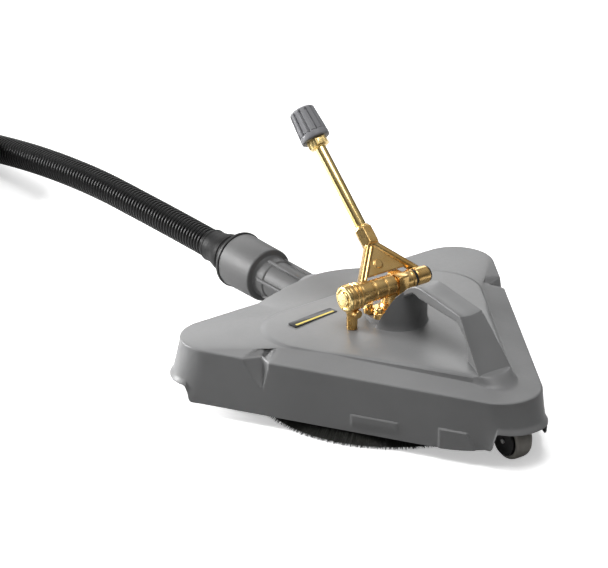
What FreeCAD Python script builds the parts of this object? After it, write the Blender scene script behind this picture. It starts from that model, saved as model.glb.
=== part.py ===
import FreeCAD, Part
import math
import os

# A floor surface cleaner with a triangular housing: a two-arm spray rotor turns inside a fixed brush
# ring, a tilting brass yoke carries the lance, and a suction hose leaves the rear socket.
# Everything is drawn in millimetres about the rotor's axis, with the floor at z = 0, +Y towards the
# front caster and -Y towards the hose, and is then moved along Y so that the origin is the middle of
# the footprint.

Vector = FreeCAD.Vector
X_AXIS = Vector(1, 0, 0)
Y_AXIS = Vector(0, 1, 0)
Z_AXIS = Vector(0, 0, 1)

# ---- housing -------------------------------------------------------------------------------------
WALL = 3.0
SIDE_D = 156.0                  # rotor axis to each of the three skirt walls, at the rim
CORNER_R = 50.0
SKIRT_Z = 20.0                  # lower edge of the skirt
SKIRT_FLARE = 4.0               # how far the lower edge stands outside the rim
RIM_Z = 85.0
RIM_ROUND = 2.5
CORNER_CUT_R = 56.0             # the skirt is cut higher around each caster
CORNER_CUT_Z = 40.0
PLATEAU_SIDE_D = 122.0          # fold line of the raised top, along the two long front sides
PLATEAU_REAR_D = 98.0           # and along the rear side
PLATEAU_R = 34.0
PLATEAU_Z = 96.0
CROWN_SIDE_D = 84.0
CROWN_REAR_D = 62.0
CROWN_R = 22.0
CROWN_Z = 100.0

# hood in front of the brass work: side profile as (y, z), and half widths at its foot and top
HOOD_PROFILE = [(7, 92), (23, 122), (38, 144), (63, 165), (154, 157), (203, 92)]
HOOD_FOOT_HALF = 27.0
HOOD_TOP_HALF = 19.0
# the gap for the hand under the hood's top, as (y, z): from the wall round the swivel to the front leg
GRIP_PROFILE = [(48, 80), (48, 138), (54, 145), (68, 149), (148, 144), (156, 128), (156, 80)]

BADGE_LENGTH = 70.0
BADGE_WIDTH = 15.0
BADGE_THICK = 0.9
BADGE_CENTRE = (80, -56, 99.6)

# ---- suction duct and hose -----------------------------------------------------------------------
DUCT_Z = 63.0                   # height of the duct, socket and hose axis
DUCT_COVER_R = 39.0
DUCT_COVER_BACK = 172.0
NECK_R = 24.0
NECK_BORE_R = 19.0
NECK_FRONT = 140.0              # distances behind the rotor axis
INJECTOR_FRONT = 138.5
SOCKET_FRONT = 251.0
SOCKET_BACK = 312.0
SOCKET_FRONT_R = 34.0
SOCKET_BACK_R = 35.0
SOCKET_WALL = 3.0
SEAL_R = 36.5
SEAL_BACK = 316.0
CUFF_BACK = 372.0
CUFF_FLARE_BACK = 336.0
CUFF_BORE_R = 16.0
CUFF_PLUG_R = 30.6              # the stretch inside the socket
HOSE_R = 19.0
NECK_RIBS = 6

# the hose's route behind the cuff, as (x, y, z) about the rotor's axis
HOSE_ROUTE = [
    (0, -372, 63.0),
    (0, -450, 63.4),
    (1, -530, 63.6),
    (0, -616, 62.2),
    (2, -708, 56.0),
    (0, -800, 42.5),
    (2, -892, 26.0),
    (1, -980, 19.3),
]
COIL_X = 235.0                  # centre of the put-away coil
COIL_Y = -980.0
COIL_OUTER_R = 256.0
COIL_INNER_R = 150.0
COIL_HEIGHT = 78.0
COIL_END_R = 278.0              # the hose leaves the coil on the floor, where the far cuff starts
END_CUFF_LENGTH = 95.0
END_CUFF_Z = 24.0
END_CUFF_R = 24.0
END_CUFF_BORE_R = 17.5

# ---- brass work ----------------------------------------------------------------------------------
AXLE_Y = -2.0
AXLE_Z = 141.0
AXLE_PIN_R = 8.0
RUNNING_GAP = 0.05
YOKE_TILT = 47.4                # degrees from upright, towards the hose, at rest
EYE_LEFT = (34.3, 51.7)         # spans along X
EYE_LEFT_R = 14.0
EYE_RIGHT = (-64.0, -34.3)
EYE_RIGHT_R = 11.0
BODY_SPAN = (-31.0, 34.0)
ELBOW_SPAN = (52.0, 70.0)
ELBOW_R = 17.0
CAP_END = 74.0
STUB_X = 61.0
STUB_R = 6.7
STUB_FOOT_Z = 88.0
FLANGE_Z = 106.0
FLANGE_THICK = 8.0
FLANGE_SCREW_X = (-25.0, 25.0)
FLANGE_SCREW_Y = (-14.0, 6.0)
FLANGE_SCREW_R = 2.5
COLLAR_R = 33.0                 # raised seat of the flange on the roof
SOCKET_START = 56.0             # distances along the lance from the axle
SOCKET_END = 83.0
LANCE_R = 5.8
LANCE_BORE_R = 3.6
NUT_START = 196.0
NUT_END = 207.0
KNOB_START = 208.0
KNOB_END = 251.0
KNOB_R = 17.6
KNOB_TIP_R = 13.8
KNOB_FLUTES = 12
THREAD_R = 10.25                # minor radius of the union thread
THREAD_LENGTH = 15.0
INSERT_R = 12.4                 # outside of the union's threaded bush
NIPPLE_START = 222.5            # the tube's collar that holds the union, inside it
NIPPLE_END = 231.0
NIPPLE_R = 8.3
NIPPLE_ROOM_R = 8.5

# ---- chassis, brush and rotor --------------------------------------------------------------------
CHASSIS_Z = 60.0
CHASSIS_THICK = 4.0
CHASSIS_OPENING_R = 120.0
HOLDER_Z = 28.0
HOLDER_HEIGHT = 10.0
HOLDER_INNER_R = 141.0
HOLDER_OUTER_R = 149.5
BRISTLE_FOOT_INNER_R = 148.0
BRISTLE_FOOT_OUTER_R = 165.0
HOUSING_SCREW_D = 136.0
SCREW_BOSS_R = 5.0
SCREW_R = 2.0
SCREW_LENGTH = 12.0
SCREW_HEAD_R = 4.5
SCREW_HEAD = 3.0
HOUSING_SCREW_ANGLES = (10, 50, 130, 170, 240, 300)
SHAFT_R = 6.0
SHAFT_BORE_R = 2.5
SHAFT_FOOT_Z = 45.0
SHAFT_LENGTH = 55.0
BEARING_R = 16.0
BEARING_WIDTH = 10.0
BARREL_R = 21.0
ARM_Z = 44.0
ARM_R = 5.0
SPRAY_R = 128.0

# ---- casters -------------------------------------------------------------------------------------
CASTER_D = 216.0                # rotor axis to each swivel axis
CASTER_TRAIL = 20.0
WHEEL_R = 25.0
TYRE_WIDTH = 24.0
HUB_R = 19.0
STEM_R = 5.0
WHEEL_PIN_R = 3.0
CORNER_ANGLES = {"front": 90.0, "left": 210.0, "right": -30.0}

FRONT_REACH = 2.0 * (SIDE_D - CORNER_R) + CORNER_R
FOOTPRINT_FRONT = FRONT_REACH + SKIRT_FLARE * (CORNER_CUT_Z - RIM_Z) / (SKIRT_Z - RIM_Z)
ROTOR_Y = (CUFF_BACK - FOOTPRINT_FRONT) / 2.0


def write(name, shape):
    """Moves a piece from the rotor's axis into the part's frame and writes it as one node."""
    placed = shape.copy()
    placed.translate(Vector(0, ROTOR_Y, 0))
    placed.exportStep("parts/" + name + ".step")
    volume = round(placed.Volume / 1000.0, 2)
    print(name, len(placed.Solids), "solids, valid", placed.isValid(), volume, "cm3")


def cylinder(radius, start, axis, length):
    return Part.makeCylinder(radius, length, Vector(*start), axis)


def tube(outer_r, inner_r, start, axis, length):
    return cylinder(outer_r, start, axis, length).cut(cylinder(inner_r, start, axis, length))


def box(low, high):
    size = [b - a for a, b in zip(low, high)]
    return Part.makeBox(size[0], size[1], size[2], Vector(*low))


def hexagon(across_flats, start, axis, length):
    """A hexagonal bar from start along axis."""
    radius = across_flats / math.sqrt(3.0)
    points = []
    for i in range(7):
        angle = math.radians(60.0 * i)
        points.append(Vector(radius * math.cos(angle), radius * math.sin(angle), 0))
    bar = Part.Face(Part.makePolygon(points)).extrude(Vector(0, 0, length))
    bar.Placement = FreeCAD.Placement(Vector(*start), FreeCAD.Rotation(Z_AXIS, axis))
    return bar


def lathe(profile, start, axis):
    """A solid of revolution: profile is (radius, distance along axis) from the axis and back to it."""
    points = [Vector(r, 0, h) for r, h in profile]
    face = Part.Face(Part.makePolygon(points + [points[0]]))
    solid = face.revolve(Vector(0, 0, 0), Z_AXIS, 360)
    solid.Placement = FreeCAD.Placement(Vector(*start), FreeCAD.Rotation(Z_AXIS, axis))
    return solid


def fuse(shapes):
    whole = shapes[0].multiFuse(shapes[1:])
    return whole.removeSplitter()


def polar(radius, degrees, z=0.0):
    angle = math.radians(degrees)
    return Vector(radius * math.cos(angle), radius * math.sin(angle), z)


def triangle(z, side_d, rear_d, corner_r):
    """A rounded triangle about the rotor's axis, its corners at the front, left and right."""
    normals = [30.0, 150.0, 270.0]
    reach = [side_d, side_d, rear_d]
    centres = []
    for i in range(3):
        j = (i + 1) % 3
        a = math.radians(normals[i])
        b = math.radians(normals[j])
        da = reach[i] - corner_r
        db = reach[j] - corner_r
        det = math.cos(a) * math.sin(b) - math.sin(a) * math.cos(b)
        x = (da * math.sin(b) - db * math.sin(a)) / det
        y = (db * math.cos(a) - da * math.cos(b)) / det
        centres.append(Vector(x, y, z))
    edges = []
    for i in range(3):
        j = (i + 1) % 3
        begin = centres[i] + polar(corner_r, normals[i])
        middle = centres[i] + polar(corner_r, normals[i] + 60.0)
        end = centres[i] + polar(corner_r, normals[i] + 120.0)
        following = centres[j] + polar(corner_r, normals[j])
        edges.append(Part.Arc(begin, middle, end).toShape())
        edges.append(Part.LineSegment(end, following).toShape())
    return Part.Wire(edges)


def loft(wires):
    return Part.makeLoft(wires, True, True)


def housing_form(inset):
    """The solid form of the housing, inset = 0 for the outside and WALL for the hollow."""
    slope = SKIRT_FLARE / (RIM_Z - SKIRT_Z)
    foot_z = SKIRT_Z - (8.0 if inset else 0.0)
    foot_d = SIDE_D + slope * (RIM_Z - foot_z) - inset
    foot_r = CORNER_R + slope * (RIM_Z - foot_z) - inset
    shoulder_z = RIM_Z - RIM_ROUND - inset
    rim_d = SIDE_D - RIM_ROUND - inset
    form = loft([
        triangle(foot_z, foot_d, foot_d, foot_r),
        triangle(shoulder_z, SIDE_D - inset, SIDE_D - inset, CORNER_R - inset),
        triangle(RIM_Z - inset, rim_d, rim_d, CORNER_R - RIM_ROUND - inset),
        triangle(PLATEAU_Z - inset, PLATEAU_SIDE_D - inset, PLATEAU_REAR_D - inset, PLATEAU_R - inset),
        triangle(CROWN_Z - inset, CROWN_SIDE_D - inset, CROWN_REAR_D - inset, CROWN_R - inset),
    ])
    cover_length = DUCT_COVER_BACK - inset - PLATEAU_REAR_D / 2.0
    cover = cylinder(DUCT_COVER_R - inset, (0, -DUCT_COVER_BACK + inset, DUCT_Z), Y_AXIS, cover_length)
    return fuse([form, hood_form(inset), cover])


def grip_form(grow):
    """The gap under the hood's top that a hand goes through, with room for its walls when grow is WALL."""
    points = [Vector(0, y, z) for y, z in GRIP_PROFILE]
    outline = Part.makePolygon(points + [points[0]])
    if grow:
        outline = outline.makeOffset2D(grow, 2)
    half = HOOD_FOOT_HALF + 10.0
    gap = Part.Face(outline).extrude(Vector(2 * half, 0, 0))
    gap.translate(Vector(-half, 0, 0))
    return gap


def hood_form(inset):
    """The hood: its side profile carried across, narrowed by its sloping flanks, with the gap for the hand."""
    points = [Vector(0, y, z) for y, z in HOOD_PROFILE]
    outline = Part.makePolygon(points + [points[0]])
    if inset:
        outline = outline.makeOffset2D(-inset, 2)
    half = HOOD_FOOT_HALF + 1.0
    profile = Part.Face(outline).extrude(Vector(2 * half, 0, 0))
    profile.translate(Vector(-half, 0, 0))
    low = HOOD_PROFILE[0][1] - 10.0
    high = HOOD_PROFILE[3][1]
    foot = HOOD_FOOT_HALF - inset
    top = HOOD_TOP_HALF - inset
    y_back = HOOD_PROFILE[0][0] - 1.0
    y_front = HOOD_PROFILE[-1][0] + 1.0
    flank = [Vector(-foot, y_back, low), Vector(foot, y_back, low),
             Vector(top, y_back, high), Vector(-top, y_back, high)]
    wedge = Part.Face(Part.makePolygon(flank + [flank[0]])).extrude(Vector(0, y_front - y_back, 0))
    return profile.common(wedge).cut(grip_form(inset))


def housing():
    outer = housing_form(0.0)
    shell = outer.cut(housing_form(WALL))
    parts = [shell, cylinder(COLLAR_R, (0, 0, CROWN_Z - WALL), Z_AXIS, FLANGE_Z - CROWN_Z + WALL)]
    cuts = []
    for angle in HOUSING_SCREW_ANGLES:
        point = polar(HOUSING_SCREW_D, angle, CHASSIS_Z + CHASSIS_THICK)
        parts.append(cylinder(SCREW_BOSS_R, point, Z_AXIS, 50).common(outer))
        cuts.append(cylinder(SCREW_R, point, Z_AXIS, SCREW_LENGTH))
    cuts += [cylinder(NECK_R + 0.3, (0, -DUCT_COVER_BACK - 10, DUCT_Z), Y_AXIS, 40)]
    cuts.append(cylinder(STUB_R + 0.4, (STUB_X, AXLE_Y, 80), Z_AXIS, 40))
    cuts.append(cylinder(BARREL_R + 0.2, (0, 0, 80), Z_AXIS, 30))
    cuts += flange_screw_shanks()
    for angle in CORNER_ANGLES.values():
        centre = polar(CASTER_D, angle)
        cuts.append(cylinder(CORNER_CUT_R, (centre.x, centre.y, 0), Z_AXIS, CORNER_CUT_Z))
    return fuse(parts).cut(Part.makeCompound(cuts))


def chassis():
    """Plate under the roof, with the brush ring's wall below it and a boss for each caster stem."""
    inset = WALL + 3.0
    outline = triangle(CHASSIS_Z, SIDE_D - inset, SIDE_D - inset, CORNER_R - inset)
    plate = Part.Face(outline).extrude(Vector(0, 0, CHASSIS_THICK))
    wall_z = HOLDER_Z + HOLDER_HEIGHT
    wall_height = CHASSIS_Z - wall_z + 1
    wall = tube(HOLDER_OUTER_R - 3.0, HOLDER_INNER_R + 1.0, (0, 0, wall_z), Z_AXIS, wall_height)
    parts = [plate, wall]
    for angle in CORNER_ANGLES.values():
        centre = polar(CASTER_D, angle, CHASSIS_Z)
        parts.append(cylinder(STEM_R + 5, centre, Z_AXIS, 20))
    opening = cylinder(CHASSIS_OPENING_R, (0, 0, CHASSIS_Z - 1), Z_AXIS, CHASSIS_THICK + 2)
    solid = fuse(parts).cut(opening)
    for angle in CORNER_ANGLES.values():
        centre = polar(CASTER_D, angle, CHASSIS_Z - 1)
        solid = solid.cut(cylinder(STEM_R + RUNNING_GAP, centre, Z_AXIS, 17))
    for angle in HOUSING_SCREW_ANGLES:
        hole = polar(HOUSING_SCREW_D, angle, CHASSIS_Z - 1)
        solid = solid.cut(cylinder(SCREW_R, hole, Z_AXIS, CHASSIS_THICK + 2))
    return solid.cut(cylinder(NECK_R + 3.0, (0, -SIDE_D, DUCT_Z), Y_AXIS, 60))


def brush_holder():
    return tube(HOLDER_OUTER_R, HOLDER_INNER_R, (0, 0, HOLDER_Z), Z_AXIS, HOLDER_HEIGHT)


def bristles():
    return lathe([
        (BRISTLE_FOOT_INNER_R, 0.0),
        (BRISTLE_FOOT_OUTER_R, 0.0),
        (HOLDER_OUTER_R - 0.5, HOLDER_Z),
        (HOLDER_INNER_R + 0.5, HOLDER_Z),
    ], (0, 0, 0), Z_AXIS)


def housing_screws():
    """Pan-head screws that hold the chassis up against the housing's bosses."""
    screws = []
    for angle in HOUSING_SCREW_ANGLES:
        point = polar(HOUSING_SCREW_D, angle, CHASSIS_Z)
        head = cylinder(SCREW_HEAD_R, point, Z_AXIS * -1, SCREW_HEAD)
        screws.append(fuse([head, cylinder(SCREW_R, point, Z_AXIS, CHASSIS_THICK + SCREW_LENGTH)]))
    return Part.makeCompound(screws)


# ---- suction side --------------------------------------------------------------------------------
def suction_socket():
    """Neck from inside the housing, six ribs and the cup that takes the hose cuff, in one moulding."""
    neck_length = SOCKET_FRONT - NECK_FRONT
    parts = [cylinder(NECK_R, (0, -SOCKET_FRONT, DUCT_Z), Y_AXIS, neck_length)]
    cup_length = SOCKET_BACK - SOCKET_FRONT
    parts.append(lathe([(0, 0), (SOCKET_BACK_R, 0), (SOCKET_FRONT_R, cup_length), (0, cup_length)],
                       (0, -SOCKET_BACK, DUCT_Z), Y_AXIS))
    for i in range(NECK_RIBS):
        rib = box((-1.4, -SOCKET_FRONT - 1, 0), (1.4, -DUCT_COVER_BACK - 0.5, NECK_R + 3.5))
        rib.rotate(Vector(0, 0, 0), Y_AXIS, 360.0 / NECK_RIBS * i)
        rib.translate(Vector(0, 0, DUCT_Z))
        parts.append(rib)
    body = fuse(parts)
    mouth_r = SOCKET_FRONT_R - SOCKET_WALL
    mouth = cylinder(mouth_r, (0, -SOCKET_BACK, DUCT_Z), Y_AXIS, cup_length - SOCKET_WALL)
    bore = cylinder(NECK_BORE_R, (0, -SOCKET_FRONT - 4, DUCT_Z), Y_AXIS, neck_length + 5)
    return body.cut(mouth).cut(bore)


def socket_seal():
    return tube(SEAL_R, 26.5, (0, -SEAL_BACK, DUCT_Z), Y_AXIS, SEAL_BACK - SOCKET_BACK)


def hose_cuff():
    """Plugs into the socket, and narrows to the hose behind the seal."""
    back = 0.0
    flare = CUFF_BACK - CUFF_FLARE_BACK
    seal = CUFF_BACK - SEAL_BACK
    front = CUFF_BACK - SOCKET_FRONT - SOCKET_WALL - 2.0
    return lathe([
        (CUFF_BORE_R, back), (HOSE_R + 2.0, back), (HOSE_R + 2.5, flare - 12), (HOSE_R + 7.0, flare),
        (HOSE_R + 7.4, seal), (HOSE_R + 7.4, seal + 4), (CUFF_PLUG_R, seal + 4.4), (CUFF_PLUG_R, front),
        (CUFF_BORE_R, front),
    ], (0, -CUFF_BACK, DUCT_Z), Y_AXIS)


def route_tube(points, radius):
    """A tube along straight runs joined by tangent arcs, each as large as its two runs allow."""
    corners = [Vector(*p) for p in points]
    edges = []
    radii = []
    cursor = corners[0]
    for before, here, after in zip(corners, corners[1:], corners[2:]):
        into = here - before
        away = after - here
        shorter = min(into.Length, away.Length)
        turn = into.getAngle(away)
        trim = 0.45 * shorter
        radii.append(trim / math.tan(turn / 2.0))
        into.normalize()
        away.normalize()
        start = here - into * trim
        end = here + away * trim
        bisector = away - into
        bisector.normalize()
        sagitta = radii[-1] * (1.0 / math.cos(turn / 2.0) - 1.0)
        edges.append(Part.LineSegment(cursor, start).toShape())
        edges.append(Part.Arc(start, here + bisector * sagitta, end).toShape())
        cursor = end
    edges.append(Part.LineSegment(cursor, corners[-1]).toShape())
    path = Part.Wire(edges)
    direction = corners[1] - corners[0]
    section = Part.Wire(Part.makeCircle(radius, corners[0], direction))
    solid = path.makePipeShell([section], True, False)
    print("hose arc radii", [round(r) for r in radii])
    print("hose tube volume ratio", round(solid.Volume / (math.pi * radius ** 2 * path.Length), 4),
          "length", round(path.Length))
    return solid


def hose_coil():
    return lathe([
        (COIL_INNER_R, 6.0), (COIL_INNER_R + 6.0, 0.0), (COIL_OUTER_R - 6.0, 0.0), (COIL_OUTER_R, 6.0),
        (COIL_OUTER_R, COIL_HEIGHT - 8.0), (COIL_OUTER_R - 8.0, COIL_HEIGHT),
        (COIL_INNER_R + 8.0, COIL_HEIGHT), (COIL_INNER_R, COIL_HEIGHT - 8.0),
    ], (COIL_X, COIL_Y, 0), Z_AXIS)


def hose_end_cuff():
    """Lies on the floor beside the coil, at the end of the last turn, and heads along +X."""
    length = END_CUFF_LENGTH
    return lathe([
        (END_CUFF_BORE_R, 30.0), (CUFF_BORE_R, 28.0), (CUFF_BORE_R, 0.0), (HOSE_R + 2.0, 0.0),
        (HOSE_R + 2.5, 22.0), (END_CUFF_R, 32.0), (END_CUFF_R, length), (END_CUFF_BORE_R, length),
    ], (COIL_X, COIL_Y - COIL_END_R, END_CUFF_Z), X_AXIS)


# ---- brass work ----------------------------------------------------------------------------------
def axle_body():
    """Valve body between the yoke's eyes: axle, barrel, square block and the neck down to the flange."""
    y, z = AXLE_Y, AXLE_Z
    parts = [
        cylinder(AXLE_PIN_R, (EYE_RIGHT[0] - 2.5, y, z), X_AXIS, ELBOW_SPAN[0] - EYE_RIGHT[0] + 2.5),
        cylinder(12.0, (14.5, y, z), X_AXIS, 3.5),
        cylinder(13.0, (2.0, y, z), X_AXIS, 12.8),
        cylinder(13.0, (17.5, y, z), X_AXIS, BODY_SPAN[1] - 17.5),
        cylinder(10.0, (-3.0, y, z), X_AXIS, 6.0),
        box((-17.5, y - 12.5, z - 12.5), (-2.5, y + 12.5, z + 12.5)),
        cylinder(11.5, (BODY_SPAN[0], y, z), X_AXIS, 14.0),
        cylinder(11.0, (0, y, FLANGE_Z + FLANGE_THICK - 1), Z_AXIS, z - FLANGE_Z - FLANGE_THICK + 1),
    ]
    return fuse(parts)


def flange_body():
    """Rotor housing: screwed flange on the roof and the barrel that holds the bearings."""
    plate = box((-33, -22, FLANGE_Z), (33, 14, FLANGE_Z + FLANGE_THICK))
    corners = [e for e in plate.Edges if abs(e.tangentAt(e.FirstParameter).z) > 0.9]
    plate = plate.makeFillet(9.0, corners)
    barrel = cylinder(BARREL_R, (0, 0, ARM_Z + 20), Z_AXIS, FLANGE_Z - ARM_Z - 20)
    body = fuse([plate, barrel])
    body = body.cut(cylinder(BEARING_R, (0, 0, ARM_Z + 19), Z_AXIS, 36))
    body = body.cut(cylinder(SHAFT_R + 1.0, (0, 0, ARM_Z + 54), Z_AXIS, 8))
    neck = cylinder(11.0, (0, AXLE_Y, FLANGE_Z + FLANGE_THICK - 1), Z_AXIS, 2)
    return body.cut(Part.makeCompound([neck] + flange_screw_shanks()))


def flange_screw_shanks():
    shanks = []
    foot_z = CROWN_Z - 8
    length = FLANGE_Z + FLANGE_THICK - foot_z
    for x in FLANGE_SCREW_X:
        for y in FLANGE_SCREW_Y:
            shanks.append(cylinder(FLANGE_SCREW_R, (x, y, foot_z), Z_AXIS, length))
    return shanks


def flange_screws():
    """Cap screws through the flange into the roof."""
    screws = []
    for shank in flange_screw_shanks():
        centre = shank.CenterOfMass
        top = FLANGE_Z + FLANGE_THICK
        head = cylinder(4.3, (centre.x, centre.y, top), Z_AXIS, 5.0)
        recess = hexagon(4.0, (centre.x, centre.y, top + 2.2), Z_AXIS, 4.0)
        screws.append(fuse([shank, head]).cut(recess))
    return Part.makeCompound(screws)


def end_elbow():
    """Fixed left end of the axle with the feed stub down through the roof."""
    y, z = AXLE_Y, AXLE_Z
    ring = cylinder(ELBOW_R, (ELBOW_SPAN[0], y, z), X_AXIS, ELBOW_SPAN[1] - ELBOW_SPAN[0])
    for x in (57.0, 63.0):
        ring = ring.cut(tube(ELBOW_R + 1, ELBOW_R - 1.2, (x, y, z), X_AXIS, 1.6))
    stub = cylinder(STUB_R, (STUB_X, y, STUB_FOOT_Z), Z_AXIS, z - STUB_FOOT_Z)
    return fuse([ring, stub])


def end_cap():
    return lathe([(0, 0), (15.5, 0), (16.2, 1.0), (16.2, 2.6), (14.8, 4.0), (11.5, 4.0), (11.0, 3.2),
                  (10.0, 3.2), (9.6, 4.6), (8.6, 5.0), (0, 5.0)],
                 (ELBOW_SPAN[1], AXLE_Y, AXLE_Z), X_AXIS)


def thrust_rings():
    """Black rubber rings on the axle, beside each yoke eye and at its right end."""
    rings = []
    for start, width, radius in ((EYE_RIGHT[1] + 0.3, 2.7, 11.2), (EYE_RIGHT[0] - 2.0, 1.7, 9.6)):
        rings.append(tube(radius, AXLE_PIN_R, (start, AXLE_Y, AXLE_Z), X_AXIS, width))
    return Part.makeCompound(rings)


def along_lance(distance, across=0.0, side=0.0):
    """A point in the yoke's upright frame: side is along X, across is the yoke's thickness."""
    return Vector(side, across, distance)


def tilt(shape):
    """Turns a shape drawn upright on the axle's axis to the rest tilt and moves it onto the axle."""
    tilted = shape.copy()
    tilted.rotate(Vector(0, 0, 0), X_AXIS, YOKE_TILT)
    tilted.translate(Vector(0, AXLE_Y, AXLE_Z))
    return tilted


def slab(points, thickness):
    """A flat plate from its outline in (side, distance) coordinates of the yoke."""
    outline = [along_lance(h, -thickness / 2.0, s) for s, h in points]
    return Part.Face(Part.makePolygon(outline + [outline[0]])).extrude(Vector(0, thickness, 0))


def yoke():
    """One casting: two eyes on the axle, two legs, a thin web between them and the lance socket."""
    left_mid = (EYE_LEFT[0] + EYE_LEFT[1]) / 2.0
    right_mid = (EYE_RIGHT[0] + EYE_RIGHT[1]) / 2.0
    parts = [
        cylinder(EYE_LEFT_R, (EYE_LEFT[0], 0, 0), X_AXIS, EYE_LEFT[1] - EYE_LEFT[0]),
        cylinder(EYE_RIGHT_R, (EYE_RIGHT[0], 0, 0), X_AXIS, EYE_RIGHT[1] - EYE_RIGHT[0]),
        slab([(3, 60), (-4, 50), (34.5, 13.6), (48.5, 6), (48.5, 12), (9, 60)], 12.0),
        slab([(-3, 60), (4, 50), (-34.5, 13.6), (right_mid, 4), (right_mid, 10), (-9, 60)], 12.0),
        slab([(0, 58), (left_mid - 8, 19.0), (-34, 19.0)], 4.0),
        hexagon(21.0, (0, 0, SOCKET_START), Z_AXIS, SOCKET_END - SOCKET_START),
        cylinder(6.0, (4, -3.5, 30), Y_AXIS, 7.0),
    ]
    casting = fuse(parts)
    casting = casting.cut(cylinder(AXLE_PIN_R + RUNNING_GAP, (EYE_RIGHT[0] - 2, 0, 0), X_AXIS, 120))
    casting = casting.cut(cylinder(LANCE_R, (0, 0, SOCKET_START + 8), Z_AXIS, 40))
    return casting.cut(cylinder(2.0, (4, -8, 30), Y_AXIS, 16))


def lance_tube():
    start = SOCKET_START + 8.0
    return tube(LANCE_R, LANCE_BORE_R, (0, 0, start), Z_AXIS, NIPPLE_END - 2.0 - start)


def lance_nipple():
    return tube(NIPPLE_R, LANCE_R, (0, 0, NIPPLE_START), Z_AXIS, NIPPLE_END - NIPPLE_START)


def lance_nut():
    return hexagon(22.0, (0, 0, NUT_START), Z_AXIS, NUT_END - NUT_START).cut(
        cylinder(LANCE_R, (0, 0, NUT_START - 1), Z_AXIS, NUT_END - NUT_START + 2))


def union_insert():
    """Brass bush with the union thread, moulded into the knob."""
    length = KNOB_END - KNOB_START - 4.0
    thread_foot = length - THREAD_LENGTH
    room_foot = NIPPLE_START - KNOB_START - 0.3
    return lathe([
        (LANCE_R + RUNNING_GAP, 2.0), (INSERT_R, 2.0), (INSERT_R, length), (THREAD_R, length),
        (THREAD_R, thread_foot), (NIPPLE_ROOM_R, thread_foot), (NIPPLE_ROOM_R, room_foot),
        (LANCE_R + RUNNING_GAP, room_foot),
    ], (0, 0, KNOB_START), Z_AXIS)


def union_knob():
    length = KNOB_END - KNOB_START
    body = lathe([
        (INSERT_R, 0), (KNOB_R, 0), (KNOB_R, 7), (KNOB_R - 0.6, 8), (KNOB_TIP_R + 0.4, length - 3),
        (KNOB_TIP_R - 2.0, length), (THREAD_R, length), (THREAD_R, length - 4), (INSERT_R, length - 4),
    ], (0, 0, KNOB_START), Z_AXIS)
    lean = math.degrees(math.atan((KNOB_R - KNOB_TIP_R) / (length - 10.0)))
    for i in range(KNOB_FLUTES):
        flute = cylinder(2.6, (0, 0, 0), Z_AXIS, length)
        flute.rotate(Vector(0, 0, 0), Y_AXIS, -lean)
        flute.translate(Vector(KNOB_R + 1.5, 0, KNOB_START + 9.0))
        flute.rotate(Vector(0, 0, 0), Z_AXIS, 360.0 / KNOB_FLUTES * i)
        body = body.cut(flute)
    return body


# ---- rotor ---------------------------------------------------------------------------------------
def bearings():
    rings = []
    for z in (ARM_Z + 25.0, ARM_Z + 43.0):
        rings.append(tube(BEARING_R - 0.02, SHAFT_R + RUNNING_GAP, (0, 0, z), Z_AXIS, BEARING_WIDTH))
    return Part.makeCompound(rings)


def bearing_spacer():
    return tube(BEARING_R - 0.02, BEARING_R - 4.0, (0, 0, ARM_Z + 35.0), Z_AXIS, 8.0)


def shaft_seal():
    return tube(BEARING_R - 0.02, SHAFT_R + 0.1, (0, 0, ARM_Z + 20.5), Z_AXIS, 4.3)


def rotor_shaft():
    return tube(SHAFT_R, SHAFT_BORE_R, (0, 0, SHAFT_FOOT_Z), Z_AXIS, SHAFT_LENGTH)


def rotor_hub():
    block = hexagon(30.0, (0, 0, ARM_Z - 12), Z_AXIS, 26.0)
    block = block.cut(cylinder(SHAFT_R, (0, 0, SHAFT_FOOT_Z), Z_AXIS, 30))
    block = block.cut(cylinder(SHAFT_BORE_R, (0, 0, ARM_Z - 5), Z_AXIS, 10))
    return block.cut(cylinder(ARM_R, (-40, 0, ARM_Z - 5), X_AXIS, 80))


def spray_arms():
    """Two tubes from the hub, their ends turned down towards the floor."""
    arms = []
    for side in (-1.0, 1.0):
        root = Vector(side * 1.5, 0, ARM_Z - 5)
        reach = SPRAY_R - 8.0 - 1.5
        arm = tube(ARM_R, 3.0, (root.x, root.y, root.z), X_AXIS * side, reach)
        elbow = box((side * SPRAY_R - 8, -7.5, ARM_Z - 12.5), (side * SPRAY_R + 8, 7.5, ARM_Z + 2.5))
        arms.append(fuse([arm, elbow]))
    return Part.makeCompound(arms)


def spray_nozzles():
    nozzles = []
    for side in (-1.0, 1.0):
        nozzles.append(lathe([(0.8, 0), (6.0, 0), (6.0, -4), (4.0, -7), (0.8, -7)],
                             (side * SPRAY_R, 0, ARM_Z - 12.5), Z_AXIS))
    return Part.makeCompound(nozzles)


# ---- suction feed --------------------------------------------------------------------------------
def feed_pipe():
    """From the stub's foot back and down into the duct, where it holds the injector nozzle."""
    foot = Vector(STUB_X, AXLE_Y, STUB_FOOT_Z)
    route = [foot, Vector(STUB_X, AXLE_Y - 4, 76), Vector(46, -62, 68), Vector(14, -104, DUCT_Z),
             Vector(0, -INJECTOR_FRONT + 4.5, DUCT_Z)]
    parts = []
    for a, b in zip(route, route[1:]):
        parts.append(Part.makeCylinder(4.0, (b - a).Length, a, b - a))
        parts.append(Part.makeSphere(4.0, b))
    return fuse(parts)


def injector_nozzle():
    outline = [(1.0, 0), (6.5, 0), (6.5, 8), (3.0, 16), (1.0, 16)]
    return lathe(outline, (0, -INJECTOR_FRONT, DUCT_Z), Y_AXIS * -1)


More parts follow.
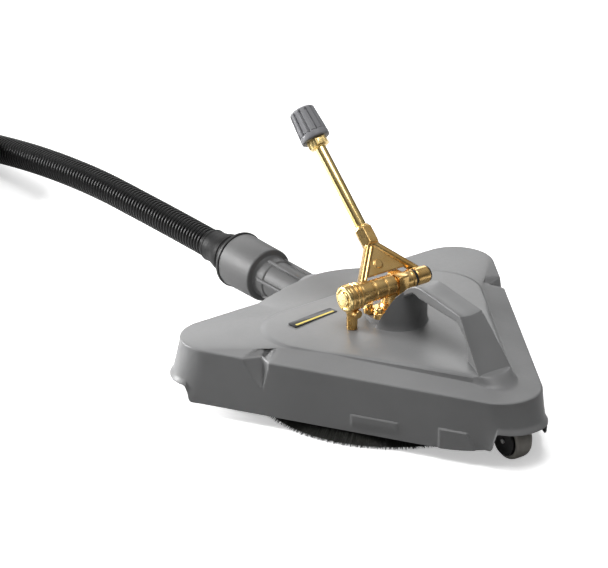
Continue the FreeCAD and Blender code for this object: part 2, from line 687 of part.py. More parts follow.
# ---- casters -------------------------------------------------------------------------------------
def caster(corner):
    """Fork, wheel hub, tyre and pin of one caster, its wheel trailing towards +Y."""
    pivot = polar(CASTER_D, CORNER_ANGLES[corner])
    px, py = pivot.x, pivot.y
    wy = py + CASTER_TRAIL
    leg_in = TYRE_WIDTH / 2.0 + 0.8
    leg_out = leg_in + 2.6
    crown_z = 2 * WHEEL_R + 2.5
    crown = box((px - leg_out, py - 13, crown_z), (px + leg_out, wy + 12, crown_z + 3.0))
    stem = cylinder(STEM_R, (px, py, crown_z), Z_AXIS, 22.0)
    race = cylinder(9.0, (px, py, crown_z), Z_AXIS, 6.5)
    parts = [crown, stem, race]
    for side in (-1.0, 1.0):
        inner = px + side * leg_in
        outer = px + side * leg_out
        low = min(inner, outer)
        high = max(inner, outer)
        parts.append(cylinder(HUB_R - 1.0, (low, wy, WHEEL_R), X_AXIS, high - low))
        parts.append(box((low, wy - 15, WHEEL_R), (high, wy + 12, crown_z + 1)))
    fork = fuse(parts).cut(cylinder(WHEEL_PIN_R, (px - 20, wy, WHEEL_R), X_AXIS, 40))
    hub = tube(HUB_R, WHEEL_PIN_R + RUNNING_GAP, (px - 11.5, wy, WHEEL_R), X_AXIS, 23.0)
    half = TYRE_WIDTH / 2.0
    tyre = lathe([
        (HUB_R, -half), (WHEEL_R - 3.5, -half), (WHEEL_R - 1.0, -half + 2.0), (WHEEL_R, -half + 5.5),
        (WHEEL_R, half - 5.5), (WHEEL_R - 1.0, half - 2.0), (WHEEL_R - 3.5, half), (HUB_R, half),
    ], (px, wy, WHEEL_R), X_AXIS)
    pin = cylinder(WHEEL_PIN_R, (px - leg_out - 1.2, wy, WHEEL_R), X_AXIS, 2 * (leg_out + 1.2))
    return {"fork": fork, "wheel_hub": hub, "tyre": tyre, "wheel_pin": pin}


def badge():
    """Plain plate on the top, lying along the rear side, its back shaped to the roof."""
    half_length = BADGE_LENGTH / 2.0
    half_width = BADGE_WIDTH / 2.0
    plate = box((-half_length, -half_width, -6.0), (half_length, half_width, BADGE_THICK))
    plate.rotate(Vector(0, 0, 0), X_AXIS, 6.5)
    plate.rotate(Vector(0, 0, 0), Y_AXIS, 3.0)
    plate.rotate(Vector(0, 0, 0), Z_AXIS, 5.0)
    plate.translate(Vector(*BADGE_CENTRE))
    return plate.cut(housing_form(0.0))


def main():
    os.makedirs("parts", exist_ok=True)
    write("housing", housing())
    write("chassis", chassis())
    write("housing_screws", housing_screws())
    write("brush_holder", brush_holder())
    write("bristle_ring", bristles())
    write("badge", badge())
    write("suction_socket", suction_socket())
    write("socket_seal", socket_seal())
    write("hose_cuff", hose_cuff())
    write("hose", route_tube(HOSE_ROUTE, HOSE_R))
    write("hose_coil", hose_coil())
    write("hose_end_cuff", hose_end_cuff())
    write("feed_pipe", feed_pipe())
    write("injector_nozzle", injector_nozzle())
    write("flange_body", flange_body())
    write("flange_screws", flange_screws())
    write("axle_body", axle_body())
    write("end_elbow", end_elbow())
    write("end_cap", end_cap())
    write("thrust_rings", thrust_rings())
    write("yoke", tilt(yoke()))
    write("lance_tube", tilt(lance_tube()))
    write("lance_nipple", tilt(lance_nipple()))
    write("lance_nut", tilt(lance_nut()))
    write("union_insert", tilt(union_insert()))
    write("union_knob", tilt(union_knob()))
    write("rotor_bearings", bearings())
    write("bearing_spacer", bearing_spacer())
    write("shaft_seal", shaft_seal())
    write("rotor_shaft", rotor_shaft())
    write("rotor_hub", rotor_hub())
    write("spray_arms", spray_arms())
    write("spray_nozzles", spray_nozzles())
    for corner in CORNER_ANGLES:
        for piece, shape in caster(corner).items():
            write(corner + "_" + piece, shape)


main()
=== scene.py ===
import bisect
import math
import random

import bpy
from mathutils import Matrix, Vector


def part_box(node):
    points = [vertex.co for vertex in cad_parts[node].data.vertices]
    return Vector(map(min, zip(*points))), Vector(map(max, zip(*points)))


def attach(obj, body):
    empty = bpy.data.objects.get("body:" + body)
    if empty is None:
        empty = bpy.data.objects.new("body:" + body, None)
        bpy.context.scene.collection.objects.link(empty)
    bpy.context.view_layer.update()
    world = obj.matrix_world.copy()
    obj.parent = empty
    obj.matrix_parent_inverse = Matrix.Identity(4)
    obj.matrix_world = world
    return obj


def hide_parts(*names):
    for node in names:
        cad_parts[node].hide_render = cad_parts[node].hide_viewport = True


# The looks of a triangular floor surface cleaner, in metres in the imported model's frame. The pieces are drawn
# in millimetres about the rotor's axis, and at() moves them there.

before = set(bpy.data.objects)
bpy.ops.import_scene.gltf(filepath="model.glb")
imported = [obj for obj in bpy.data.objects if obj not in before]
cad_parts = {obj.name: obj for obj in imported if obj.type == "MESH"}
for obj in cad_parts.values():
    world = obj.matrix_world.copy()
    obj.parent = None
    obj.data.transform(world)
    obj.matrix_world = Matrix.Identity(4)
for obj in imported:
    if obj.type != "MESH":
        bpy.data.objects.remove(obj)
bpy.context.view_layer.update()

MM = 0.001
ROTOR_Y = sum(corner.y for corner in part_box("rotor_shaft")) / 2.0

# ---- driving sizes, in millimetres about the rotor's axis ----
SIDE_D = 156.0                  # from the rotor's axis to each wall, at the rim
CORNER_R = 50.0
RIM_Z = 85.0
RIM_ROUND = 3.0
SKIRT_Z = 20.0
SKIRT_FLARE = 4.0               # how far the wall leans out between the rim and the skirt
PLATEAU_SIDE_D = 122.0          # the fold round the raised top
PLATEAU_REAR_D = 98.0
PLATEAU_FRONT_R = 34.0
PLATEAU_REAR_R = 62.0
PLATEAU_Z = 95.5
ROOF_TOP_Z = 99.8
DOME_POWER = 2.2
WALL = 2.6
DUCT_Z = 63.0
HOSE_R = 19.0
AXLE_Y = -2.0
AXLE_Z = 141.0
YOKE_TILT = math.radians(47.4)
COS_30 = math.cos(math.radians(30.0))
ORIGIN = (0, 0, 0)
X_AXIS = (1, 0, 0)
Y_AXIS = (0, 1, 0)
Z_AXIS = (0, 0, 1)


def at(x, y, z):
    """A point given in millimetres about the rotor's axis, in the frame's metres."""
    return Vector((x * MM, y * MM + ROTOR_Y, z * MM))


# ---- mesh helpers ----
def smooth(t):
    """Rises from 0 to 1 as t does, level at both ends."""
    t = max(0.0, min(1.0, t))
    return t * t * (3.0 - 2.0 * t)


def new_object(name, points, faces, sharp=35.0):
    """A mesh object with smooth faces, sharp where they meet at more than the angle in degrees."""
    mesh = bpy.data.meshes.new(name)
    mesh.from_pydata([tuple(p) for p in points], [], faces)
    mesh.validate()
    mesh.shade_smooth()
    mesh.set_sharp_from_angle(angle=math.radians(sharp))
    piece = bpy.data.objects.new(name, mesh)
    bpy.context.scene.collection.objects.link(piece)
    return piece


def ring_faces(rows, columns):
    """Quads between consecutive rings of points."""
    faces = []
    for r in range(rows - 1):
        for c in range(columns):
            d = (c + 1) % columns
            a = r * columns
            b = a + columns
            faces.append((a + c, a + d, b + d, b + c))
    return faces


def capped(rows):
    """A closed shape from rings of points with the same count."""
    count = len(rows[0])
    points = [p for row in rows for p in row]
    faces = ring_faces(len(rows), count)
    faces.append(tuple(range(count))[::-1])
    faces.append(tuple(range(len(points) - count, len(points))))
    return points, faces


def circle(radius, z, segments):
    """Points round the Z axis at a height."""
    angles = [2 * math.pi * i / segments for i in range(segments)]
    return [(radius * math.cos(angle), radius * math.sin(angle), z) for angle in angles]


def rounded(profile, radius, steps=3):
    """A profile with each inner corner replaced by a short arc."""
    line = [Vector(profile[0])]
    for before, here, after in zip(profile, profile[1:], profile[2:]):
        here = Vector(here)
        into = Vector(before) - here
        away = Vector(after) - here
        cut = min(radius, 0.45 * into.length, 0.45 * away.length)
        a = here + into.normalized() * cut
        b = here + away.normalized() * cut
        for i in range(steps + 1):
            t = i / steps
            line.append((1 - t) ** 2 * a + 2 * t * (1 - t) * here + t * t * b)
    line.append(Vector(profile[-1]))
    return line


def lathe(profile, start, axis, segments=64, radius=0.8):
    """Points and faces of a turned shape: profile is (radius, distance along axis), in millimetres."""
    line = rounded(profile, radius)
    turn = Vector(Z_AXIS).rotation_difference(Vector(axis).normalized()).to_matrix()
    points = [Vector(start) + turn @ Vector(point) for r, h in line for point in circle(r, h, segments)]
    return points, ring_faces(len(line), segments)


def join(shapes):
    """One list of points and one of faces from several."""
    points = []
    faces = []
    for shape_points, shape_faces in shapes:
        base = len(points)
        points += shape_points
        faces += [tuple(base + i for i in face) for face in shape_faces]
    return points, faces


def build(name, shapes, body, material, stands_for=(), sharp=35.0):
    """One piece from shapes in rotor millimetres, riding on a body."""
    points, faces = join(shapes)
    piece = new_object(name, [at(*p) for p in points], faces, sharp)
    piece.data.materials.append(material)
    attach(piece, body)
    if stands_for:
        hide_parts(*stands_for)
    return piece


# ---- materials ----
def shader(name, color, roughness, metallic=0.0, **values):
    """A material with its node tree and its surface; values are other sockets, with _ for each space."""
    material = bpy.data.materials.new(name)
    material.use_nodes = True
    tree = material.node_tree
    surface = tree.nodes["Principled BSDF"]
    surface.inputs["Base Color"].default_value = (*color, 1.0)
    surface.inputs["Roughness"].default_value = roughness
    surface.inputs["Metallic"].default_value = metallic
    for socket, value in values.items():
        surface.inputs[socket.replace("_", " ")].default_value = value
    return material, tree, surface


def noise_node(tree, scale, detail=3.0):
    """A noise texture in the object's own coordinates."""
    place = tree.nodes.new("ShaderNodeTexCoord")
    texture = tree.nodes.new("ShaderNodeTexNoise")
    texture.inputs["Scale"].default_value = scale
    texture.inputs["Detail"].default_value = detail
    tree.links.new(place.outputs["Object"], texture.inputs["Vector"])
    return texture


def tinted(color, share):
    return [c * share for c in color]


def vary_color(tree, surface, texture, dark, light, low=0.35, high=0.65):
    """Runs the surface's colour from dark to light as the texture goes from low to high."""
    ramp = tree.nodes.new("ShaderNodeValToRGB")
    ramp.color_ramp.elements[0].position = low
    ramp.color_ramp.elements[0].color = (*dark, 1.0)
    ramp.color_ramp.elements[1].position = high
    ramp.color_ramp.elements[1].color = (*light, 1.0)
    tree.links.new(texture.outputs["Fac"], ramp.inputs["Fac"])
    tree.links.new(ramp.outputs["Color"], surface.inputs["Base Color"])


def vary_roughness(tree, surface, texture, low, high):
    """Runs the surface's roughness from low to high with the texture."""
    span = tree.nodes.new("ShaderNodeMapRange")
    span.inputs["To Min"].default_value = low
    span.inputs["To Max"].default_value = high
    tree.links.new(texture.outputs["Fac"], span.inputs["Value"])
    tree.links.new(span.outputs["Result"], surface.inputs["Roughness"])


def add_bump(tree, surface, texture, strength, distance):
    """A fine relief from the texture; distance is in metres."""
    bump = tree.nodes.new("ShaderNodeBump")
    bump.inputs["Strength"].default_value = strength
    bump.inputs["Distance"].default_value = distance
    tree.links.new(texture.outputs["Fac"], bump.inputs["Height"])
    tree.links.new(bump.outputs["Normal"], surface.inputs["Normal"])


def moulded_plastic(name, color, roughness, spread=0.06, grain=0.25, shine=0.32):
    """Moulded plastic with a fine grain and a faintly uneven colour."""
    material, tree, surface = shader(name, color, roughness, 0.0, Specular_IOR_Level=shine)
    cloud = noise_node(tree, 9.0, 4.0)
    vary_color(tree, surface, cloud, tinted(color, 1 - spread), tinted(color, 1 + spread))
    vary_roughness(tree, surface, noise_node(tree, 160.0, 2.0), roughness - 0.04, roughness + 0.06)
    add_bump(tree, surface, noise_node(tree, 1600.0, 2.0), grain, 0.0002)
    return material


def cast_brass(name, color, roughness):
    """Brass with a faintly uneven cast surface, darker in its low places."""
    material, tree, surface = shader(name, color, roughness, 1.0)
    cloud = noise_node(tree, 45.0, 4.0)
    vary_color(tree, surface, cloud, [c * k for c, k in zip(color, (0.84, 0.72, 0.55))], color, 0.3, 0.65)
    vary_roughness(tree, surface, noise_node(tree, 240.0, 3.0), roughness - 0.03, roughness + 0.05)
    add_bump(tree, surface, noise_node(tree, 500.0, 2.0), 0.07, 0.0003)
    return material


def turned_metal(name, color, roughness):
    """Machined metal with a faint grain."""
    material, tree, surface = shader(name, color, roughness, 1.0)
    cloud = noise_node(tree, 55.0, 3.0)
    vary_color(tree, surface, cloud, [c * k for c, k in zip(color, (0.85, 0.8, 0.7))], color, 0.3, 0.6)
    vary_roughness(tree, surface, noise_node(tree, 300.0, 3.0), roughness - 0.05, roughness + 0.08)
    add_bump(tree, surface, noise_node(tree, 900.0, 2.0), 0.12, 0.0002)
    return material


def rubber(name, color, roughness, shine=0.4):
    """Rubber with a coarse grain and dull patches."""
    material, tree, surface = shader(name, color, roughness, 0.0, Specular_IOR_Level=shine)
    vary_color(tree, surface, noise_node(tree, 30.0, 4.0), tinted(color, 0.8), tinted(color, 1.25))
    vary_roughness(tree, surface, noise_node(tree, 90.0, 3.0), roughness - 0.08, roughness + 0.1)
    add_bump(tree, surface, noise_node(tree, 900.0, 3.0), 0.3, 0.0003)
    return material


GREY = moulded_plastic("housing_grey", (0.185, 0.186, 0.187), 0.40)
# the socket's grey is painted shade: the same grey plastic as the housing, darkened well below it to offset the
# key light close beside the socket
SOCKET_SHADED_GREY = moulded_plastic("socket_painted_shade_grey", (0.095, 0.095, 0.095), 0.50)
KNOB_GREY = moulded_plastic("knob_grey", (0.20, 0.20, 0.21), 0.42)
BADGE_DARK = moulded_plastic("badge_dark", (0.02, 0.02, 0.022), 0.3)
BADGE_BAND = moulded_plastic("badge_band", (0.62, 0.50, 0.06), 0.35)
INNER_BLACK = moulded_plastic("inner_black", (0.03, 0.03, 0.03), 0.5)
WHEEL_BLACK = moulded_plastic("wheel_black", (0.02, 0.02, 0.02), 0.35)
HOSE_BLACK = moulded_plastic("hose_black", (0.004, 0.004, 0.004), 0.30, 0.15, 0.25, 0.14)
BRASS = cast_brass("cast_brass", (0.80, 0.55, 0.23), 0.27)
TURNED_BRASS = turned_metal("turned_brass", (0.86, 0.66, 0.30), 0.19)
STEEL = turned_metal("steel", (0.6, 0.6, 0.6), 0.3)
BLACK_RUBBER = rubber("black_rubber", (0.014, 0.014, 0.014), 0.5)
CUFF_RUBBER = rubber("cuff_rubber", (0.006, 0.006, 0.006), 0.5, 0.16)
TYRE_GREY = rubber("tyre_grey", (0.36, 0.34, 0.31), 0.55)
BRISTLE_BLACK = rubber("bristle_black", (0.034, 0.035, 0.031), 0.42)


# ---- camera ----
def add_camera():
    """A long lens above the front right wall, aimed a little to one side of the rotor's axis."""
    elevation = math.radians(25.43)
    azimuth = math.radians(141.57)
    roll = math.radians(-0.70)
    distance = 6.716
    aim_left = 0.1080
    aim_up = 0.1299
    back = Vector((math.sin(azimuth) * math.cos(elevation), -math.cos(azimuth) * math.cos(elevation),
                   math.sin(elevation)))
    right = Vector((math.cos(azimuth), math.sin(azimuth), 0.0))
    up = back.cross(right)
    roll_right = right * math.cos(roll) - up * math.sin(roll)
    roll_up = up * math.cos(roll) + right * math.sin(roll)
    target = at(0, 0, 0)
    place = target + back * distance
    aim = target - roll_right * aim_left + roll_up * aim_up
    forward = (aim - place).normalized()
    side = forward.cross(roll_up).normalized()
    top = side.cross(forward)
    data = bpy.data.cameras.new("camera")
    data.lens = 321.7
    data.sensor_width = 36.0
    data.clip_end = 60.0
    camera = bpy.data.objects.new("camera", data)
    turn = Matrix((side, top, -forward)).transposed()
    camera.matrix_world = Matrix.Translation(place) @ turn.to_4x4()
    bpy.context.scene.collection.objects.link(camera)
    bpy.context.scene.camera = camera


# ---- housing ----
SIDE_COLUMNS = 190
CORNER_COLUMNS = 44
# rows of points over the roof: from the middle, 0, to the fold, 1, and on to the rim, 2
PLATEAU_ROWS = [0.03, 0.15, 0.3, 0.42, 0.54, 0.64, 0.72, 0.78, 0.83, 0.87, 0.9, 0.925, 0.945, 0.96, 0.972,
                0.982, 0.991, 1.0]
BAND_ROWS = [1.01, 1.02, 1.03, 1.04, 1.05, 1.06, 1.072, 1.086, 1.105, 1.13, 1.165, 1.21, 1.26, 1.31, 1.37,
             1.43, 1.5, 1.56, 1.62, 1.68, 1.74, 1.8, 1.86, 1.91, 1.95, 1.98]
INNER_ROOF_ROWS = [2.0, 1.94, 1.86, 1.78, 1.7, 1.6, 1.5, 1.4, 1.3, 1.2, 1.1, 1.05, 1.0, 0.9, 0.8, 0.5, 0.2,
                   0.03]
# heights of the rows of points down the wall and up its inner face
WALL_ROWS = [80, 77.5, 75, 72, 69, 66, 63, 60, 57, 54, 51, 48, 45.5, 43.5, 42.3, 41.3, 40.3, 39.3, 38.3, 37.3,
             36.3, 35.3, 34.3, 33, 31, 28.5, 26, 23.5, 21, 19, 17.5, 16.3, 15.4]
INNER_WALL_ROWS = [16.0, 24.0, 33.0, 36.0, 41.0, 46.0, 52.0, 60.0, 70.0, 80.0]
RIM_ANGLES = [15.0, 35.0, 55.0, 75.0, 90.0]
# distances of the front sides and the rear side, and radii of the front and rear corners
FOLD_OUTLINE = [PLATEAU_SIDE_D, PLATEAU_REAR_D, PLATEAU_FRONT_R, PLATEAU_REAR_R]
RIM_OUTLINE = [SIDE_D - RIM_ROUND, SIDE_D - RIM_ROUND, CORNER_R - RIM_ROUND, CORNER_R - RIM_ROUND]
FOLD_SOFT = 0.035               # how gently the roof turns at the fold, at the front sides and at the rear
REAR_FOLD_SOFT = 0.06
EDGE_Z = 15.0
CORNER_EDGE_Z = [47.0, 35.0, 35.0]      # the front corner first, then the rear ones
FRONT_EDGE_RISE = 8.0
FRONT_EDGE_START = 0.72
CORNER_FLARE = [11.0, 6.0, 6.0]
STEP_SHARE = [0.11, 0.18, 0.18]         # how far round each corner the lower edge steps up
STEP_SPREAD = 0.035
LIP_FLARE = 2.4
LIP_HEIGHT = 8.0
LEDGE_START = -13.0             # the step along the front sides grows from here towards the front
LEDGE_LENGTH = 176.0
LEDGE_LIFT = 4.4
LEDGE_DROP = 5.0
FOLD_STEP = 2.0                 # the small step round the raised top at the two rear corners
NOTCH_Q = -106.0                # where each notch's valley ends, from the middle of its side
NOTCH_LEAN = 8.0                # how far back the valley leans on its way up to the rim
NOTCH_DEPTH = 14.0
NOTCH_SINK = 2.5                # how far the roof dips into the valley
NOTCH_BEHIND = 19.6
NOTCH_AHEAD = 16.1
NOTCH_FOOT_Z = 50.0
NOTCH_TIP_D = 110.6
HUMP = 15.5                     # how far the rear side rises over the suction duct
HUMP_HALF = 90.0
HUMP_FOOT_Z = 60.0
# the raised pads low on the wall, as start and end along the side, top z, lean of the far end, height
PADS = [(11.0, 72.0, 37.5, 0.0, 1.5), (125.0, 161.0, 41.0, 0.55, 2.2)]


def corner_centres(side_reach, rear_reach):
    """The right, front and left corners of a triangle from the distances of its sides."""
    x = (side_reach + 0.5 * rear_reach) / COS_30
    return [Vector((x, -rear_reach)), Vector((0.0, 2.0 * side_reach)), Vector((-x, -rear_reach))]


def outline_columns():
    """Side number, share along the side or None, share round the corner or None."""
    columns = []
    for side in range(3):
        columns += [(side, i / SIDE_COLUMNS, None) for i in range(SIDE_COLUMNS)]
        columns += [(side, None, i / CORNER_COLUMNS) for i in range(CORNER_COLUMNS)]
    return columns


def outline_point(column, side_d, rear_d, front_r, rear_r):
    """Point and outward normal of one column on a triangle with its own front corner radius."""
    side, along, around = column
    angle = math.radians(30.0 + 120.0 * side + 120.0 * (around or 0.0))
    normal = Vector((math.cos(angle), math.sin(angle)))
    ends = []
    for corner in (side, (side + 1) % 3):
        radius = front_r if corner == 1 else rear_r
        ends.append(corner_centres(side_d - radius, rear_d - radius)[corner] + normal * radius)
    return ends[1] if along is None else ends[0].lerp(ends[1], along), normal


def along_side(point):
    """Distance along a front side from its middle, towards the front corner."""
    return -0.5 * abs(point.x) + COS_30 * point.y


def across_side(point):
    """Distance of a point from the rotor's axis, square to the nearer front side."""
    return COS_30 * abs(point.x) + 0.5 * point.y


def notch_share(q, height):
    """How deep the notch is at q, 0 to 1; height is 1 at the rim and 0 at either tip."""
    valley = NOTCH_Q - NOTCH_LEAN * height
    reach = NOTCH_BEHIND if q < valley else NOTCH_AHEAD
    return max(0.0, height - abs(q - valley) / reach)


def roof_notch(column, point):
    """How deep the notch is at a column of the roof, 0 to 1."""
    side, along, _ = column
    if side == 2 or along is None:
        return 0.0
    height = (across_side(point) - NOTCH_TIP_D) / (SIDE_D - NOTCH_TIP_D)
    return notch_share(along_side(point), max(0.0, height))


def ledge_share(column, point):
    """How far the step along the front sides has grown: 0 behind its start, 1 at the front."""
    side, along, around = column
    if side == 2 or (side == 1 and around is not None):
        return 0.0
    q = along_side(point)
    ledge = 0.3 * smooth((q - LEDGE_START + 40.0) / 60.0)
    return ledge + 0.7 * max(0.0, min(1.0, (q - LEDGE_START) / LEDGE_LENGTH))


def fold_step_share(column, point):
    """How much there is of the small step round the raised top: none at the front, all at the rear."""
    side, along, around = column
    if side == 0 and around is not None:
        return 0.0
    if side != 2 and along is not None:
        return smooth((-20.0 - along_side(point)) / 60.0)
    return 1.0


def hump(x):
    """Extra height of the rear side over the suction duct."""
    return HUMP * max(0.0, 1.0 - (abs(x) / HUMP_HALF) ** 1.6)


def roof_z(column, point, t):
    """Height of the roof: a shallow dome to the fold at t = 1, then a band falling to the rim at t = 2."""
    side, _, around = column
    drop = PLATEAU_Z - RIM_Z
    soft = REAR_FOLD_SOFT if side == 2 else FOLD_SOFT
    fold = soft * math.log1p(math.exp(min((t - 1.0) / soft, 40.0)))
    z = ROOF_TOP_Z - (ROOF_TOP_Z - PLATEAU_Z) * min(t, 1.0) ** DOME_POWER - drop * fold
    z += drop * soft * math.log(2.0) * max(0.0, 1.0 - abs(t - 1.0) / 0.3)
    toe = math.sin(math.pi * around) if side == 0 and around is not None else 0.0
    ledge = ledge_share(column, point)
    fall = smooth((t - 0.965) / (0.085 + 0.4 * toe))
    z += LEDGE_LIFT * ledge * smooth((t - 0.5) / 0.47) * (1.0 - fall)
    z -= LEDGE_DROP * ledge * fall * (2.0 - t)
    step = fold_step_share(column, point) * smooth((t - 0.985) / 0.09)
    z -= FOLD_STEP * step * max(0.0, 2.0 - max(t, 1.0))
    if side == 2 and point.y < 0.0 and t > 1.0:
        z += hump(point.x) * (t - 1.0)
    return z - NOTCH_SINK * roof_notch(column, point)


def front_share(column):
    """0 over most of a front side, growing to 1 where the front corner starts."""
    side, along, _ = column
    if side == 2 or along is None:
        return 0.0
    ahead = along if side == 0 else 1.0 - along
    return max(0.0, min(1.0, (ahead - FRONT_EDGE_START) / (1.0 - FRONT_EDGE_START)))


def edge_z(column):
    """Height of the skirt's lower edge."""
    side, along, around = column
    if along is not None:
        return EDGE_Z + FRONT_EDGE_RISE * front_share(column) ** 3
    share = STEP_SHARE[side]
    up = smooth((around - share + STEP_SPREAD) / (2 * STEP_SPREAD))
    down = smooth((1.0 - share + STEP_SPREAD - around) / (2 * STEP_SPREAD))
    low = EDGE_Z + (FRONT_EDGE_RISE if side == 0 else 0.0)
    return low + (CORNER_EDGE_Z[side] - low) * min(up, down)


def wall_offset(column, point, z):
    """Outward distance of the wall's notches, pads and lip from the plain wall."""
    side, along, around = column
    if along is None:
        edge = edge_z(column)
        plain = EDGE_Z + FRONT_EDGE_RISE
        raised = smooth((edge - plain) / (CORNER_EDGE_Z[side] - plain))
        spread = smooth(min(around, 1.0 - around) / 0.4) * max(0.0, (RIM_Z - z) / 43.0) ** 1.3
        lip = LIP_FLARE * raised * smooth((edge + LIP_HEIGHT - z) / LIP_HEIGHT)
        return CORNER_FLARE[side] * spread + lip
    if side == 2:
        return 0.0
    q = along_side(point)
    height = max(0.0, (z - NOTCH_FOOT_Z) / (RIM_Z - NOTCH_FOOT_Z)) ** 0.7
    offset = -NOTCH_DEPTH * notch_share(q, height)
    for start, end, top, lean, rise in PADS:
        stop = end + lean * (top - z)
        inside = smooth((q - start + 2.0) / 4.0) * smooth((stop - q + 1.5) / 3.0)
        fade = 1.0 if lean else smooth((z - EDGE_Z - 4.0) / 12.0)
        offset += rise * inside * fade * smooth((top - z + 0.9) / 1.8)
    return offset


def roof_row(columns, t, inset=0.0):
    """One ring of the roof, t = 0 at the middle, 1 at the fold and 2 at the rim."""
    if t <= 1.0:
        sizes = [size * t for size in FOLD_OUTLINE]
    else:
        sizes = [fold + (rim - fold) * (t - 1.0) for fold, rim in zip(FOLD_OUTLINE, RIM_OUTLINE)]
    shrink = min(inset, sizes[2], sizes[3])
    sizes = [size - shrink for size in sizes]
    row = []
    for column in columns:
        point, normal = outline_point(column, *sizes)
        z = roof_z(column, point, t) - inset
        point = point - normal * NOTCH_DEPTH * roof_notch(column, point)
        row.append((point.x, point.y, z))
    return row


def wall_row(columns, nominal_z, reach, inset=0.0):
    """One ring of the wall; reach is how far it stands out from the plain wall."""
    row = []
    for column in columns:
        low = edge_z(column)
        z = low + (nominal_z - EDGE_Z) * (RIM_Z - low) / (RIM_Z - EDGE_Z)
        flare = SKIRT_FLARE * (RIM_Z - z) / (RIM_Z - SKIRT_Z)
        side_d = SIDE_D + flare + reach - inset
        radius = CORNER_R + flare + reach - inset
        point, normal = outline_point(column, side_d, side_d, radius, radius)
        point = point + normal * wall_offset(column, point, z)
        if column[0] == 2 and column[1] is not None:
            z += hump(point.x) * max(0.0, (z - HUMP_FOOT_Z) / (RIM_Z - HUMP_FOOT_Z))
        row.append((point.x, point.y, z))
    return row


def housing_shell():
    """The moulded cover: roof, round rim, wall, lower edge, then its inner faces."""
    columns = outline_columns()
    edge_round = 0.6
    rows = [roof_row(columns, t) for t in PLATEAU_ROWS + BAND_ROWS]
    for angle in RIM_ANGLES:
        a = math.radians(angle)
        z = RIM_Z - RIM_ROUND * (1 - math.cos(a)) * 0.9
        rows.append(wall_row(columns, z, RIM_ROUND * (math.sin(a) - 1.0)))
    rows += [wall_row(columns, z, 0.0) for z in WALL_ROWS]
    rows.append(wall_row(columns, EDGE_Z, -edge_round))
    rows.append(wall_row(columns, EDGE_Z, edge_round - WALL))
    rows += [wall_row(columns, z, 0.0, WALL) for z in INNER_WALL_ROWS]
    rows += [roof_row(columns, t, WALL) for t in INNER_ROOF_ROWS]
    points = [p for row in rows for p in row]
    faces = ring_faces(len(rows), len(columns))
    last = len(points) - len(columns)
    faces.append(tuple(range(len(columns))))
    faces.append(tuple(range(last, len(points)))[::-1])
    return points, faces


# the handle's bar over the gap for the hand, as y, top z, half width, thickness
BAR_STATIONS = [
    (30.0, 130.0, 17.0, 9.0),
    (37.0, 143.8, 17.0, 10.0),
    (43.0, 152.6, 17.0, 10.0),
    (48.0, 157.4, 17.0, 9.5),
    (54.0, 161.6, 17.0, 9.5),
    (60.0, 164.8, 17.0, 9.5),
    (66.0, 167.0, 17.0, 12.4),
    (72.0, 168.0, 17.0, 15.4),
    (80.0, 167.4, 17.0, 15.2),
    (96.0, 165.6, 17.0, 14.5),
    (120.0, 162.8, 17.0, 13.0),
    (140.0, 160.5, 17.0, 11.6),
    (149.0, 159.4, 17.0, 11.2),
    (152.0, 158.7, 17.1, 11.4),
    (154.0, 156.4, 17.1, 11.2),
    (157.0, 151.8, 17.1, 8.0),
    (160.0, 147.2, 17.1, 5.0),
]
# the bar's front leg, as z, back y, half width there, front y, half width there
LEG_STATIONS = [
    (92.0, 155.0, 7.5, 205.4, 25.4),
    (98.0, 155.5, 7.5, 200.8, 25.0),
    (101.0, 156.0, 7.2, 198.4, 24.3),
    (106.0, 156.0, 7.2, 194.4, 23.8),
    (113.0, 156.0, 7.6, 188.9, 23.0),
    (121.0, 155.6, 8.6, 182.6, 22.1),
    (129.0, 154.4, 10.4, 176.2, 21.1),
    (136.0, 152.4, 12.6, 170.7, 20.2),
    (142.0, 149.8, 14.8, 165.9, 19.3),
    (147.0, 147.0, 16.4, 161.9, 18.5),
    (151.0, 144.0, 16.8, 158.8, 17.9),
    (155.4, 141.0, 16.8, 155.3, 17.3),
]
BAR_DISH = 2.6                  # how far the middle of the bar's top lies below its edges
DISH_SHARES = (0.8, 0.6, 0.4, 0.2)
EDGE_ROUND = 1.2
BOSS_R = 36.8                   # the round wall in front of the swivel, which the bar starts from
BOSS_Y = 10.0
# its sloping top, as (y, z), and the fillet round its foot, as (z, extra radius)
BOSS_SLOPE = [(8.0, 93.0), (11.9, 99.2), (19.1, 110.5), (25.9, 122.3), (32.0, 134.6), (38.0, 146.1),
              (43.8, 154.0), (47.2, 157.3), (54.0, 161.6)]
BOSS_FOOT = [(90.0, 2.6), (98.0, 2.2), (100.5, 1.1), (102.5, 0.4), (107.0, 0.0)]
BOSS_TOP_RADII = [35.4, 32.0, 26.0, 19.0, 12.0, 5.0]
BOSS_WALL_ROWS = 8
BOSS_COLUMNS = 144


def between(table, value):
    """Linear interpolation in a table of (position, result) pairs."""
    if value <= table[0][0]:
        return table[0][1]
    for (p, a), (q, b) in zip(table, table[1:]):
        if value <= q:
            return a + (b - a) * (value - p) / (q - p)
    return table[-1][1]


def bar_ring(station):
    """One cross-section of the bar, all the way round from the right end of its top."""
    y, top, half, thickness = station
    dish = BAR_DISH * smooth((y - 44.0) / 25.0)
    r = EDGE_ROUND
    low = top - thickness
    right = [(half, low + 3.0), (half, top - r), (half - 0.35 * r, top - 0.35 * r), (half - r, top)]
    right += [(half * share, top - dish * (1.0 - share * share)) for share in DISH_SHARES]
    under = [(half - 0.9, low + 0.9), (half - 3.0, low), (0.5 * half, low)]
    ring = right + [(0.0, top - dish)] + [(-x, z) for x, z in right[::-1]]
    ring += [(-x, z) for x, z in under] + [(0.0, low)] + under[::-1]
    return [(x, y, z) for x, z in ring]


